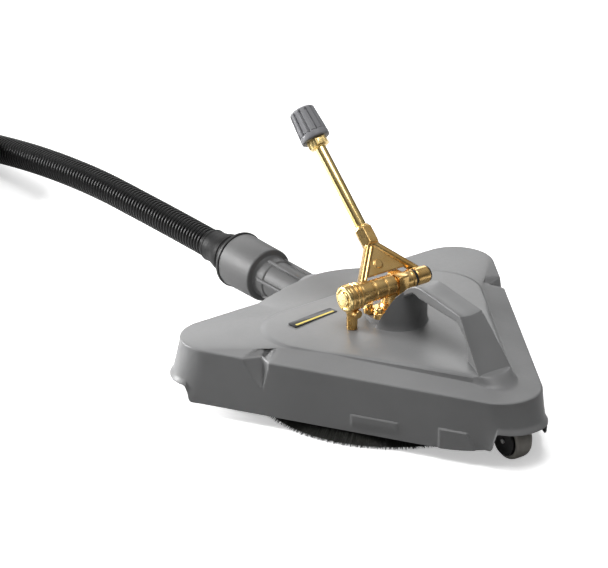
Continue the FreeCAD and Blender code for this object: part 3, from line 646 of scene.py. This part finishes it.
def leg_ring(station):
    """One level of the front leg: narrow at the back, wide at its sloping front face."""
    z, back, back_half, front, front_half = station
    r = EDGE_ROUND
    dish = BAR_DISH * smooth((z - 96.0) / 30.0)
    slant = (front_half - back_half) / (front - back)
    right = [(back_half - 1.6, back), (back_half - 0.4, back + 0.5), (back_half + 1.6 * slant, back + 1.6)]
    right += [(front_half - r * slant * 1.4, front - r * 1.4), (front_half - 0.1 * r, front - 0.35 * r)]
    right += [(front_half - r, front)]
    right += [(front_half * share, front - dish * (1.0 - share * share)) for share in DISH_SHARES]
    ring = right + [(0.0, front - dish)] + [(-x, y) for x, y in right[::-1]]
    return [(x, y, z) for x, y in ring]


def boss_point(angle, radius, z, below):
    """A point of the round wall, held at a distance below its sloping top; without z it is on that level."""
    x = radius * math.cos(angle)
    y = BOSS_Y + radius * math.sin(angle)
    cut = between(BOSS_SLOPE, y) - below
    return (x, y, cut if z is None else min(z, cut))


def hood_boss():
    """The round wall in front of the swivel, with its top cut to a slope."""
    around = [2 * math.pi * i / BOSS_COLUMNS for i in range(BOSS_COLUMNS)]
    foot_z = BOSS_FOOT[-1][0]
    top_round = EDGE_ROUND
    rows = [[boss_point(angle, BOSS_R + extra, z, 2.0) for angle in around] for z, extra in BOSS_FOOT]
    for i in range(1, BOSS_WALL_ROWS + 1):
        row = []
        for angle in around:
            cut = between(BOSS_SLOPE, BOSS_Y + BOSS_R * math.sin(angle)) - top_round
            z = foot_z + max(0.0, cut - foot_z) * i / BOSS_WALL_ROWS
            row.append(boss_point(angle, BOSS_R, z, top_round))
        rows.append(row)
    rows.append([boss_point(angle, BOSS_R - 0.4, None, 0.4) for angle in around])
    rows += [[boss_point(angle, radius, None, 0.0) for angle in around] for radius in BOSS_TOP_RADII]
    return capped(rows)


def add_housing():
    mouth = (0, -172.0, DUCT_Z)
    cover = lathe([(24.3, 0.0), (29.0, 0.0), (31.0, 3.0), (34.0, 13.0), (35.5, 24.0)], mouth, Y_AXIS, 96, 2.0)
    lining = lathe([(24.3, 33.0), (24.3, 0.0)], mouth, Y_AXIS, 96, 0.0)
    seat = lathe([(0.5, 106.0), (33.0, 106.0), (33.0, 96.0)], ORIGIN, Z_AXIS, 96, 1.2)
    shapes = [housing_shell(), cover, lining, seat, hood_boss()]
    shapes.append(capped([bar_ring(station) for station in BAR_STATIONS]))
    shapes.append(capped([leg_ring(station) for station in LEG_STATIONS]))
    build("housing_shell", shapes, "base", GREY, ["housing"], 15.0)


# ---- solid shapes ----
def dress(piece, material):
    """Gives a piece one material in place of those it has."""
    piece.data.materials.clear()
    piece.data.materials.append(material)


def rounded_box_ring(width, height, corner, steps=4):
    """The outline of a rectangle with round corners, as (u, v) pairs."""
    ring = []
    for quarter, (su, sv) in enumerate(((1, 1), (-1, 1), (-1, -1), (1, -1))):
        for i in range(steps + 1):
            angle = 0.5 * math.pi * (quarter + i / steps)
            u = su * (width / 2.0 - corner) + corner * math.cos(angle)
            v = sv * (height / 2.0 - corner) + corner * math.sin(angle)
            ring.append((u, v))
    return ring


def bar(start, end, width, height, side, corner=1.2, soften=0.8):
    """A straight bar with round edges; width runs along the side direction."""
    a = Vector(start)
    b = Vector(end)
    along = (b - a).normalized()
    across = Vector(side) - along * Vector(side).dot(along)
    across.normalize()
    up = along.cross(across)
    length = (b - a).length
    rows = []
    for distance, trim in ((0.0, soften), (soften * 0.3, soften * 0.3), (soften, 0.0), (length - soften, 0.0),
                           (length - soften * 0.3, soften * 0.3), (length, soften)):
        ring = rounded_box_ring(width - 2 * trim, height - 2 * trim, max(corner - trim * 0.5, 0.2))
        rows.append([a + along * distance + across * u + up * v for u, v in ring])
    return capped(rows)


def turned(profile, start, axis, segments=64, radius=0.6):
    """A closed turned solid from a profile of (radius, distance) that leaves the axis free at both ends."""
    points, _ = lathe(profile, start, axis, segments, radius)
    rows = [points[i:i + segments] for i in range(0, len(points), segments)]
    return capped(rows)


def on_axle(profile, segments=64, radius=0.4):
    """A turned solid round the axle, with distances to the left of the rotor's axis."""
    return turned(profile, (0, AXLE_Y, AXLE_Z), X_AXIS, segments, radius)


def hexagon_bar(across_flats, start, axis, length, chamfer=1.2, turn=0.0):
    """A hexagonal nut or bar whose corners are chamfered at both ends; turn is in degrees."""
    spin = Vector(Z_AXIS).rotation_difference(Vector(axis).normalized()).to_matrix()
    segments = 72
    flat = across_flats / 2.0
    corner_r = across_flats / math.sqrt(3.0)
    rows = []
    for h, cap_r in ((0.0, flat), (chamfer, corner_r), (length - chamfer, corner_r), (length, flat)):
        row = []
        for i in range(segments):
            angle = 2 * math.pi * i / segments
            flat_r = flat / math.cos((angle + math.radians(turn)) % (math.pi / 3) - math.pi / 6)
            r = min(flat_r, cap_r)
            row.append(Vector(start) + spin @ Vector((r * math.cos(angle), r * math.sin(angle), h)))
        rows.append(row)
    return capped(rows)


def cast(name, shapes, body, stands_for, voxel, smoothing):
    """One brass casting from overlapping solids, with its inner corners filled as a casting's are."""
    points, faces = join(shapes)
    raw = new_object(name + "_raw", [at(*p) for p in points], faces)
    remesh = raw.modifiers.new("remesh", "REMESH")
    remesh.mode = "VOXEL"
    remesh.voxel_size = voxel * MM
    soften = raw.modifiers.new("soften", "SMOOTH")
    soften.factor = 0.5
    soften.iterations = smoothing
    mesh = bpy.data.meshes.new_from_object(raw.evaluated_get(bpy.context.evaluated_depsgraph_get()))
    bpy.data.objects.remove(raw)
    mesh.shade_smooth()
    piece = bpy.data.objects.new(name, mesh)
    bpy.context.scene.collection.objects.link(piece)
    dress(piece, BRASS)
    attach(piece, body)
    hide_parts(stands_for)


# ---- badge ----
def roof_height(x, y):
    """Height of the raised top at a point well inside its fold."""
    side = COS_30 * abs(x) + 0.5 * y
    t = max(side / PLATEAU_SIDE_D, -y / PLATEAU_REAR_D)
    return ROOF_TOP_Z - (ROOF_TOP_Z - PLATEAU_Z) * t ** DOME_POWER


def add_badge():
    """A plain dark plate that follows the roof, with one coloured band along it and no lettering."""
    length, width, corner = 70.0, 15.0, 2.2
    band_length, band_width, band_offset = 62.0, 3.4, 3.6
    centre = Vector((80.0, -56.0))
    slant = math.radians(5.0)
    along = Vector((math.cos(slant), math.sin(slant)))
    across = Vector((-along.y, along.x))
    rows = []
    for lift, trim in ((-0.4, 0.0), (0.75, 0.0), (0.9, 0.4)):
        row = []
        for u, v in rounded_box_ring(length, width, corner, 6):
            spot = centre + along * u * (1 - trim / (length / 2)) + across * v * (1 - trim / (width / 2))
            row.append((spot.x, spot.y, roof_height(spot.x, spot.y) + lift))
        rows.append(row)
    build("badge_plate", [capped(rows)], "base", BADGE_DARK, ["badge"], 30.0)
    rows = []
    for lift, trim in ((0.8, 0.0), (1.05, 0.15)):
        row = []
        for u, v in rounded_box_ring(band_length - trim, band_width - trim, 0.5, 3):
            spot = centre + along * u + across * (v + band_offset)
            row.append((spot.x, spot.y, roof_height(spot.x, spot.y) + lift))
        rows.append(row)
    build("badge_band", [capped(rows)], "base", BADGE_BAND)


# ---- suction socket, seal and cuff ----
NECK_RIBS = 6
NECK_RIB_R = 25.2


def add_socket():
    """The ribbed neck with its cup, the black seal at its mouth, and the hose's cuff."""
    cup = lathe([(31.0, 56.0), (31.0, 0.0), (35.0, 0.0), (34.4, 58.6), (33.4, 60.4), (27.6, 61.4),
                 (26.4, 66.0), (25.4, 78.0), (24.0, 80.0), (24.0, 172.0), (19.0, 172.0), (19.0, 58.0),
                 (31.0, 56.0)],
                (0, -312.0, DUCT_Z), Y_AXIS, 96, 0.7)
    shapes = [cup]
    for i in range(NECK_RIBS):
        angle = math.radians(18.0) + 2 * math.pi * i / NECK_RIBS
        out = Vector((math.sin(angle), 0, math.cos(angle)))
        side = Vector((math.cos(angle), 0, -math.sin(angle)))
        foot = Vector((0, -242.0, DUCT_Z)) + out * NECK_RIB_R
        tip = Vector((0, -171.0, DUCT_Z)) + out * NECK_RIB_R
        shapes.append(bar(foot, tip, 3.8, 6.0, side, 1.2, 0.8))
    # the neck, cup and ribs take the darkened grey, whose extra darkness is painted shade
    build("suction_socket_moulding", shapes, "base", SOCKET_SHADED_GREY, ["suction_socket"], 32.0)
    seal = lathe([(26.6, 0.2), (36.4, 0.0), (36.6, 2.0), (36.3, 4.0), (26.6, 3.8)], (0, -316.0, DUCT_Z),
                 Y_AXIS, 96, 0.8)
    build("socket_seal_ring", [seal], "base", BLACK_RUBBER, ["socket_seal"])
    cuff = lathe([(16.0, 0.0), (20.4, 0.0), (21.2, 1.6), (21.2, 3.4), (20.6, 4.6), (21.0, 14.0), (22.6, 22.0),
                  (25.2, 31.0), (26.2, 36.0), (26.2, 38.6), (27.2, 39.4), (27.2, 41.2), (26.2, 42.0),
                  (26.2, 50.0), (26.2, 60.2), (30.5, 60.6), (30.5, 115.0), (16.0, 115.0), (16.0, 0.0)],
                 (0, -372.0, DUCT_Z), Y_AXIS, 96, 0.8)
    build("hose_cuff_moulding", [cuff], "base", CUFF_RUBBER, ["hose_cuff"])


# ---- brush ring ----
BRISTLE_ROWS = [(142.4, 150.0), (147.2, 168.6), (147.9, 170.4), (148.6, 172.2)]     # root and tip radius
BRISTLES_PER_ROW = 900
BRISTLE_ROOT_Z = 29.5


def bristle(angle, root_r, tip_r, tip_z, width, lean):
    """One thin tapered bristle that bows outwards."""
    rows = []
    for s, thick in ((0.0, 1.0), (0.55, 0.9), (1.0, 0.45)):
        r = root_r + (tip_r - root_r) * s ** 1.6
        a = angle + lean * s
        z = BRISTLE_ROOT_Z + (tip_z - BRISTLE_ROOT_Z) * s
        row = []
        for corner in range(3):
            turn = a + 2 * math.pi * corner / 3
            row.append((r * math.cos(a) + width * thick * math.cos(turn),
                        r * math.sin(a) + width * thick * math.sin(turn), z))
        rows.append(row)
    return capped(rows)


def add_bristles():
    """A dense core with rows of single bristles round it."""
    rng = random.Random(7)
    shapes = [lathe([(142.2, BRISTLE_ROOT_Z), (149.0, 2.0), (168.0, 1.6), (159.0, 9.0), (151.5, 19.0),
                     (147.6, BRISTLE_ROOT_Z), (142.2, BRISTLE_ROOT_Z)], ORIGIN, Z_AXIS, 160, 1.0)]
    for root_r, tip_r in BRISTLE_ROWS:
        for i in range(BRISTLES_PER_ROW):
            angle = 2 * math.pi * (i + rng.uniform(-0.35, 0.35)) / BRISTLES_PER_ROW
            shapes.append(bristle(angle, root_r, tip_r + rng.uniform(-1.6, 1.2), rng.uniform(0.1, 2.0),
                                  rng.uniform(0.42, 0.62), rng.uniform(-0.012, 0.012)))
    build("brush_bristles", shapes, "base", BRISTLE_BLACK, ["bristle_ring"], 60.0)


# ---- brass work ----
def tilted(shape):
    """Turns a shape from the yoke's upright frame (across, thickness, along the lance) to its rest tilt."""
    points, faces = shape
    c = math.cos(YOKE_TILT)
    s = math.sin(YOKE_TILT)
    placed = [(p[0], AXLE_Y + p[1] * c - p[2] * s, AXLE_Z + p[1] * s + p[2] * c) for p in points]
    return placed, faces


def add_yoke():
    """The yoke: two eyes, a leg to each, the web between them and the hexagon that holds the lance."""
    across = Y_AXIS
    web = [(0, 58), (37, 17.5), (-36, 17.5)]
    shapes = [
        turned([(13.0, 34.3), (14.0, 35.2), (14.0, 50.8), (13.0, 51.7)], ORIGIN, X_AXIS, 64, 0.5),
        turned([(10.2, -54.0), (11.0, -53.0), (11.0, -35.3), (10.0, -34.3)], ORIGIN, X_AXIS, 64, 0.5),
        bar((5.6, 0, 58), (46.4, 0, 7), 11.6, 5.0, across, 2.2),
        bar((-0.2, 0, 57), (38.6, 0, 9), 11.0, 4.6, across, 2.2),
        bar((2.6, 0, 57), (42.4, 0, 8), 7.6, 5.0, across, 1.0),
        bar((-2.5, 0, 57.5), (-44.5, 0, 8), 11.6, 9.4, across, 4.2),
        hexagon_bar(21.0, (0, 0, 56), Z_AXIS, 24.0, 1.6),
        turned([(9.4, 79.0), (9.4, 82.0), (7.6, 83.4)], ORIGIN, Z_AXIS, 48, 0.6),
        turned([(6.2, -4.1), (6.2, -3.2), (5.6, 3.6)], (5, 0, 30), across, 40, 0.4),
        capped([[(x, y, z) for x, z in web] for y in (-2.0, 2.0)]),
    ]
    cast("yoke_casting", [tilted(shape) for shape in shapes], "yoke", "yoke", 0.6, 6)


def add_axle_body():
    """Barrel, square block and neck of the valve body, and the black rings beside the yoke's right eye."""
    shapes = [
        on_axle([(12.4, -0.5), (13.2, 0.6), (13.2, 13.4), (12.0, 14.0), (12.0, 15.4), (13.2, 16.0),
                 (13.2, 30.0), (12.2, 30.8), (12.2, 34.0)], 96),
        on_axle([(7.9, -56.0), (7.9, 52.0)], 64, 0.0),
        on_axle([(10.4, -4.0), (10.4, 1.0)], 64, 0.0),
        on_axle([(11.2, -31.0), (12.2, -30.0), (12.2, -27.0), (11.4, -26.0), (11.4, -16.0)]),
        bar((-17.5, AXLE_Y, AXLE_Z), (-2.8, AXLE_Y, AXLE_Z), 25.0, 25.0, Y_AXIS, 2.0, 0.9),
        turned([(14.0, 113.0), (11.6, 118.0), (10.6, 126.0), (10.6, 141.0)], (0, AXLE_Y, 0), Z_AXIS, 64, 2.0),
    ]
    build("axle_body_casting", shapes, "base", BRASS, ["axle_body"])
    rings = [on_axle([(11.2, -34.0), (11.2, -31.3)], 48), on_axle([(9.6, -55.8), (9.6, -54.3)], 48)]
    build("axle_rings", rings, "base", BLACK_RUBBER, ["thrust_rings"])


def add_end_elbow():
    """The ribbed left end of the axle with its feed stub, and the turned cap over it."""
    ring = on_axle([(15.0, 52.0), (16.6, 52.6), (16.6, 55.4), (15.2, 56.2), (15.2, 57.4), (17.0, 58.4),
                    (17.0, 61.4), (15.6, 62.2), (15.6, 63.4), (17.2, 64.2), (17.2, 69.0), (16.2, 70.0)], 96)
    stub = turned([(6.8, 88.0), (6.8, 118.0), (8.0, 121.0), (8.2, 130.0)], (61.0, AXLE_Y, 0), Z_AXIS, 48, 1.5)
    boss = turned([(5.4, 0.0), (5.4, 7.0), (4.6, 8.0)], (61.0, AXLE_Y + 6.0, AXLE_Z - 19.0), Y_AXIS, 40, 0.5)
    build("end_elbow_casting", [ring, stub, boss], "base", BRASS, ["end_elbow"])
    cap = on_axle([(15.6, 70.0), (16.6, 70.6), (16.6, 72.6), (15.2, 74.0), (12.2, 74.3), (11.4, 73.2),
                   (10.4, 73.2), (10.0, 75.2), (9.2, 76.0), (0.1, 76.2)], 96, 0.35)
    build("end_cap_turned", [cap], "base", TURNED_BRASS, ["end_cap"])


FLANGE_SCREWS = [(-25.0, -14.0), (-25.0, 6.0), (25.0, -14.0), (25.0, 6.0)]
FLANGE_TOP_Z = 114.0


def add_flange():
    """Screwed flange with an ear round each screw."""
    shapes = [bar((0, -4, 106.0), (0, -4, 113.4), 50.0, 24.0, X_AXIS, 9.0, 0.8)]
    screws = []
    for x, y in FLANGE_SCREWS:
        ear = [(7.4, 106.0), (7.4, 113.0), (6.6, FLANGE_TOP_Z)]
        head = [(4.2, 0.0), (4.4, 4.2), (3.6, 5.0), (2.3, 5.0), (2.2, 2.6), (0.1, 2.6)]
        shank = [(2.5, -22.0), (2.5, 0.5)]
        shapes.append(turned(ear, (x, y, 0), Z_AXIS, 48, 0.6))
        screws.append(turned(head, (x, y, FLANGE_TOP_Z), Z_AXIS, 36, 0.35))
        screws.append(turned(shank, (x, y, FLANGE_TOP_Z), Z_AXIS, 24, 0.0))
    shapes.append(turned([(20.8, 64.0), (20.8, 107.0)], ORIGIN, Z_AXIS, 64, 0.0))
    shapes.append(turned([(17.0, 113.0), (15.0, 115.0), (13.0, 119.0)], (0, AXLE_Y, 0), Z_AXIS, 64, 1.0))
    cast("flange_casting", shapes, "base", "flange_body", 0.7, 5)
    build("flange_screw_heads", screws, "base", TURNED_BRASS, ["flange_screws"])


def add_lance():
    """The lance's tube, and the hexagon nut with its collar under the hand union."""
    tube = lathe([(3.6, 64.0), (6.9, 64.0), (6.9, 200.0), (5.8, 202.0), (5.8, 229.0), (3.6, 229.0),
                  (3.6, 64.0)], ORIGIN, Z_AXIS, 48, 0.4)
    build("lance_pipe", [tilted(tube)], "yoke", TURNED_BRASS, ["lance_tube"])
    nut = hexagon_bar(25.0, (0, 0, 198.0), Z_AXIS, 10.0, 0.8, 12.0)
    collar = turned([(8.6, 196.6), (9.4, 197.0), (9.4, 199.0)], ORIGIN, Z_AXIS, 48, 0.3)
    build("lance_hex_nut", [tilted(nut), tilted(collar)], "yoke", TURNED_BRASS, ["lance_nut"], 25.0)


# ---- hand union ----
KNOB_START = 208.0
KNOB_LENGTH = 43.0
KNOB_FOOT_R = 18.6
KNOB_TAPER = 2.2
KNOB_RIBS = 12
KNOB_RIB_START = 6.6            # the ribs start above a plain collar
KNOB_GROOVE = 2.4               # depth of the grooves between the ribs
KNOB_FOOT_ROUND = 1.2
KNOB_TOP_ROUND = 4.2
KNOB_HEIGHTS = [0.0, 0.5, 1.2, 3.0, 5.5, 7.4, 8.2, 8.8, 9.4, 10.2, 11.2, 12.5, 15.0, 19.0, 23.0, 27.0, 31.0,
                34.0, 36.0, 37.5, 38.8, 40.0, 41.2, 42.2, 42.8, 43.0]
KNOB_BORE = [(10.4, 43.0), (10.25, 42.6), (10.25, 39.0), (12.4, 39.0), (12.4, 0.0)]     # radius and height


def knob_radius(angle, h):
    """Broad rounded ribs between narrow grooves, over a plain collar at the foot."""
    body = KNOB_FOOT_R - KNOB_TAPER * max(0.0, min(1.0, (h - 6.0) / 32.0))
    phase = (angle * KNOB_RIBS / (2 * math.pi)) % 1.0
    groove = smooth((0.2 - abs(phase - 0.5)) / 0.12)
    start = smooth((h - KNOB_RIB_START) / 2.5)
    depth = KNOB_GROOVE * start * smooth((KNOB_LENGTH - 2.5 - h) / 3.0)
    crown = 0.25 * math.cos(2 * math.pi * phase) * start
    return body - groove * depth - crown


def knob_shoulder(h):
    """How far the knob is rounded in at a height: its foot, its top and the line over the collar."""
    top = KNOB_LENGTH - KNOB_TOP_ROUND
    if h < KNOB_FOOT_ROUND:
        return (1.0 - h / KNOB_FOOT_ROUND) ** 2
    if h > top:
        return KNOB_TOP_ROUND * (1.0 - math.sqrt(max(0.0, 1.0 - ((h - top) / KNOB_TOP_ROUND) ** 2)))
    return 0.5 if 7.4 < h < 9.4 else 0.0


def add_knob():
    """The fluted grip of the hand union, open through its middle."""
    segments = 180
    angles = [2 * math.pi * i / segments for i in range(segments)]
    rows = []
    for h in KNOB_HEIGHTS:
        radii = [knob_radius(angle, h) - knob_shoulder(h) for angle in angles]
        rows.append([(r * math.cos(a), r * math.sin(a), KNOB_START + h) for r, a in zip(radii, angles)])
    rows += [circle(r, KNOB_START + h, segments) for r, h in KNOB_BORE]
    points = [p for row in rows for p in row]
    faces = ring_faces(len(rows), segments)
    last = len(points) - segments
    faces += [(last + i, last + (i + 1) % segments, (i + 1) % segments, i) for i in range(segments)]
    grip = tilted((points, faces))
    build("union_grip", [grip], "union", KNOB_GREY, ["union_knob"], 28.0)


# ---- casters ----
WHEEL_R = 25.0
CASTER_D = 216.0
CASTER_TRAIL = 20.0
CORNER_ANGLES = {"front": 90.0, "left": 210.0, "right": -30.0}
WHEEL_SPOKES = 5
TYRE_HALF = [(19.0, 11.6), (20.6, 12.0), (22.8, 11.4), (24.4, 8.6), (25.0, 5.0)]       # inwards to the middle
HUB_HALF = [(19.0, 11.2), (16.6, 10.6), (15.2, 6.0), (9.0, 6.0), (6.6, 8.0), (6.0, 11.5), (3.05, 11.5)]


def add_casters():
    """A tyre and a spoked hub for each caster; the forks and pins are the CAD's own."""
    tyre_profile = [(r, -h) for r, h in TYRE_HALF] + TYRE_HALF[::-1] + [(TYRE_HALF[0][0], -TYRE_HALF[0][1])]
    hub_profile = [(r, -h) for r, h in HUB_HALF[::-1]] + HUB_HALF + [(HUB_HALF[-1][0], -HUB_HALF[-1][1])]
    for corner, degrees in CORNER_ANGLES.items():
        x = CASTER_D * math.cos(math.radians(degrees))
        y = CASTER_D * math.sin(math.radians(degrees)) + CASTER_TRAIL
        centre = Vector((x, y, WHEEL_R))
        wheel = corner + "_wheel"
        tyre = lathe(tyre_profile, centre, X_AXIS, 96, 1.2)
        build(corner + "_tyre_moulding", [tyre], wheel, TYRE_GREY, [corner + "_tyre"])
        shapes = [lathe(hub_profile, centre, X_AXIS, 72, 0.8)]
        for i in range(WHEEL_SPOKES):
            turn = 2 * math.pi * i / WHEEL_SPOKES
            out = Vector((0, math.cos(turn), math.sin(turn)))
            side = Vector((0, -math.sin(turn), math.cos(turn)))
            shapes.append(bar(centre + out * 5.6, centre + out * 16.4, 3.0, 19.0, side, 1.0, 0.3))
        build(wheel + "_hub_moulding", shapes, wheel, WHEEL_BLACK, [wheel + "_hub"])


# ---- hose ----
HOSE_ROUTE = [(0, -372, 63.0), (0, -450, 63.4), (1, -530, 63.6), (0, -616, 62.2), (2, -708, 56.0),
              (0, -800, 42.5), (2, -892, 26.0), (1, -980, 19.3)]
COIL_START_R = 235.0
COIL_CENTRE = (COIL_START_R, -980.0)
COIL_TURNS = 3.25
COIL_CLIMB = (1.55, 1.95)       # the turns between which the hose climbs onto the lower layer
COIL_LOWER_Z = 19.3
COIL_UPPER_Z = 57.8
COIL_TOP_R = 236.0
COIL_STEP = 38.6                # how far each turn lies inside the one before
COIL_END_R = 278.0              # the hose's last stretch comes down outside the coil to the floor
COIL_END_Z = 24.0
COIL_DROP = 0.2                 # share of a turn it takes to come down
POINTS_PER_TURN = 16
RIDGE_PITCH = 6.0
# one ridge, as share of the pitch and share of the hose's radius
RIDGE_PROFILE = [(0.0, 0.86), (0.18, 0.975), (0.36, 1.0), (0.62, 1.0), (0.8, 0.975)]


def coil_points():
    """The put-away turns: one layer inwards on the floor, then one outwards on top of it."""
    points = []
    steps = int(COIL_TURNS * POINTS_PER_TURN)
    low, high = COIL_CLIMB
    for i in range(1, steps + 1):
        turn = i / POINTS_PER_TURN
        angle = math.pi + 2 * math.pi * turn
        inward = COIL_START_R - COIL_STEP * min(turn, low)
        climbed = max(0.0, min(1.0, (turn - high) / (COIL_TURNS - COIL_DROP - high)))
        radius = inward + (COIL_TOP_R - inward) * climbed
        z = COIL_LOWER_Z + (COIL_UPPER_Z - COIL_LOWER_Z) * smooth((turn - low) / (high - low))
        fall = max(0.0, (turn - COIL_TURNS + COIL_DROP) / COIL_DROP)
        if fall > 0.0:
            swing = math.sin(0.5 * math.pi * min(1.0, fall * 1.15))
            radius = COIL_TOP_R + (COIL_END_R - COIL_TOP_R) * swing
            z = COIL_END_Z + (COIL_UPPER_Z - COIL_END_Z) * math.cos(0.5 * math.pi * fall)
        x = COIL_CENTRE[0] + radius * math.cos(angle)
        y = COIL_CENTRE[1] + radius * math.sin(angle)
        points.append((x, y, z))
    return points


def smooth_line(route):
    """The points of a NURBS spline through the route, in the frame's metres."""
    data = bpy.data.curves.new("hose_line", "CURVE")
    data.dimensions = "3D"
    data.resolution_u = 8
    spline = data.splines.new("NURBS")
    spline.points.add(len(route) - 1)
    for point, place in zip(spline.points, route):
        point.co = (*at(*place), 1.0)
    spline.order_u = 3
    spline.use_endpoint_u = True
    holder = bpy.data.objects.new("hose_line", data)
    mesh = bpy.data.meshes.new_from_object(holder)
    line = [v.co.copy() for v in mesh.vertices]
    bpy.data.objects.remove(holder)
    bpy.data.meshes.remove(mesh)
    return line


def corrugated_tube(line, radius, segments=24):
    """Points, faces and length of a ridged tube along a line, carried along without a twist."""
    reach = [0.0]
    for a, b in zip(line, line[1:]):
        reach.append(reach[-1] + (b - a).length)
    total = reach[-1]
    pitch = RIDGE_PITCH * MM
    stations = []
    for ridge in range(int(total / pitch)):
        for offset, share in RIDGE_PROFILE:
            stations.append(((ridge + offset) * pitch, share))
    stations.append((total, RIDGE_PROFILE[0][1]))
    points = []
    side = Vector((1.0, 0.0, 0.0))
    for distance, share in stations:
        i = min(max(bisect.bisect_right(reach, distance) - 1, 0), len(line) - 2)
        along = line[i + 1] - line[i]
        centre = line[i] + along * ((distance - reach[i]) / along.length)
        before = line[max(i - 1, 0)]
        after = line[min(i + 2, len(line) - 1)]
        heading = (after - before).normalized()
        side = (side - heading * side.dot(heading)).normalized()
        top = heading.cross(side)
        for c in range(segments):
            angle = 2 * math.pi * c / segments
            points.append(centre + (side * math.cos(angle) + top * math.sin(angle)) * radius * share)
    return points, ring_faces(len(stations), segments), total


def add_hose():
    """The suction hose, laid to the rear and then coiled; the cuff at its far end is the CAD's own."""
    line = smooth_line(HOSE_ROUTE + coil_points())
    points, faces, length = corrugated_tube(line, HOSE_R * MM)
    piece = new_object("suction_hose", points, faces, 60.0)
    piece.data.materials.append(HOSE_BLACK)
    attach(piece, "base")
    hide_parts("hose", "hose_coil")
    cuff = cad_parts["hose_end_cuff"]
    dress(cuff, CUFF_RUBBER)


# ---- stage ----
FLOOR_HALF = 30.0
FLOOR_WHITE = (0.95, 0.95, 0.95)
FLOOR_BOUNCE = 0.13             # how much light the floor throws back up at the object
FLOOR_GLOW = 0.45               # keeps the floor white and its shadows pale, as on a light table


def add_stage():
    """A pale floor that looks white but throws little light back at the object."""
    size = FLOOR_HALF
    corners = [(-size, -size, 0), (size, -size, 0), (size, size, 0), (-size, size, 0)]
    floor = new_object("floor", corners, [(0, 1, 2, 3)])
    material, tree, surface = shader("floor_white", FLOOR_WHITE, 0.8)
    path = tree.nodes.new("ShaderNodeLightPath")
    shades = tree.nodes.new("ShaderNodeMix")
    shades.data_type = "RGBA"
    shades.inputs["A"].default_value = (FLOOR_BOUNCE, FLOOR_BOUNCE, FLOOR_BOUNCE, 1.0)
    shades.inputs["B"].default_value = (*FLOOR_WHITE, 1.0)
    either = tree.nodes.new("ShaderNodeMath")
    either.operation = "MAXIMUM"
    tree.links.new(path.outputs["Is Camera Ray"], either.inputs[0])
    tree.links.new(path.outputs["Is Glossy Ray"], either.inputs[1])
    tree.links.new(either.outputs["Value"], shades.inputs["Factor"])
    tree.links.new(shades.outputs["Result"], surface.inputs["Base Color"])
    glow = tree.nodes.new("ShaderNodeMath")
    glow.operation = "MULTIPLY"
    glow.inputs[1].default_value = FLOOR_GLOW
    tree.links.new(path.outputs["Is Camera Ray"], glow.inputs[0])
    surface.inputs["Emission Color"].default_value = (1.0, 1.0, 1.0, 1.0)
    tree.links.new(glow.outputs["Value"], surface.inputs["Emission Strength"])
    floor.data.materials.append(material)


# name, azimuth and elevation in degrees, distance, width and height in metres, power in watts
LIGHTS = [
    ("top_soft", 52, 79, 2.0, 1.1, 1.1, 26.0),
    ("key_rear", -118, 24, 2.4, 2.0, 0.9, 17.0),
    ("key_left", -54, 15, 1.6, 0.5, 0.5, 35.0),
    ("strip_right", 18, 10, 1.8, 0.15, 0.5, 1.0),
]


def add_light(name, azimuth, elevation, distance, width, height, power):
    """A soft rectangular light; azimuth is its direction from the rotor, counter-clockwise from +X."""
    a = math.radians(azimuth)
    e = math.radians(elevation)
    goal = at(0, 0, 80)
    direction = Vector((math.cos(a) * math.cos(e), math.sin(a) * math.cos(e), math.sin(e)))
    data = bpy.data.lights.new(name, "AREA")
    data.shape = "RECTANGLE"
    data.size = width
    data.size_y = height
    data.energy = power
    light = bpy.data.objects.new(name, data)
    light.location = goal + direction * distance
    light.rotation_mode = "QUATERNION"
    light.rotation_quaternion = direction.to_track_quat("Z", "Y")
    bpy.context.scene.collection.objects.link(light)


def add_world():
    """A dim surround, lighter towards the top."""
    world = bpy.data.worlds.new("studio")
    world.use_nodes = True
    bpy.context.scene.world = world
    tree = world.node_tree
    background = tree.nodes["Background"]
    place = tree.nodes.new("ShaderNodeTexCoord")
    split = tree.nodes.new("ShaderNodeSeparateXYZ")
    ramp = tree.nodes.new("ShaderNodeValToRGB")
    stops = [(0.0, 0.06), (0.25, 0.10), (0.6, 0.4), (1.0, 0.7)]
    while len(ramp.color_ramp.elements) < len(stops):
        ramp.color_ramp.elements.new(0.5)
    for element, (position, value) in zip(ramp.color_ramp.elements, stops):
        element.position = position
        element.color = (value, value, value, 1.0)
    tree.links.new(place.outputs["Generated"], split.inputs["Vector"])
    tree.links.new(split.outputs["Z"], ramp.inputs["Fac"])
    tree.links.new(ramp.outputs["Color"], background.inputs["Color"])
    background.inputs["Strength"].default_value = 0.75


def plain_materials():
    """Materials for the CAD pieces that stay as they are."""
    chosen = {
        INNER_BLACK: ["chassis", "brush_holder"],
        STEEL: ["housing_screws", "feed_pipe", "rotor_bearings", "bearing_spacer", "rotor_shaft",
                "spray_arms", "spray_nozzles"],
        TURNED_BRASS: ["injector_nozzle", "lance_nipple", "union_insert"],
        BRASS: ["rotor_hub"],
        BLACK_RUBBER: ["shaft_seal"],
    }
    for corner in CORNER_ANGLES:
        dress(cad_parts[corner + "_fork"], WHEEL_BLACK)
        dress(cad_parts[corner + "_wheel_pin"], STEEL)
    for material, nodes in chosen.items():
        for node in nodes:
            dress(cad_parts[node], material)


bpy.context.scene.view_settings.view_transform = "Standard"
add_camera()
add_hose()
add_housing()
add_badge()
add_socket()
add_bristles()
add_yoke()
add_axle_body()
add_end_elbow()
add_flange()
add_lance()
add_knob()
add_casters()
plain_materials()
add_stage()
add_world()
for light in LIGHTS:
    add_light(*light)
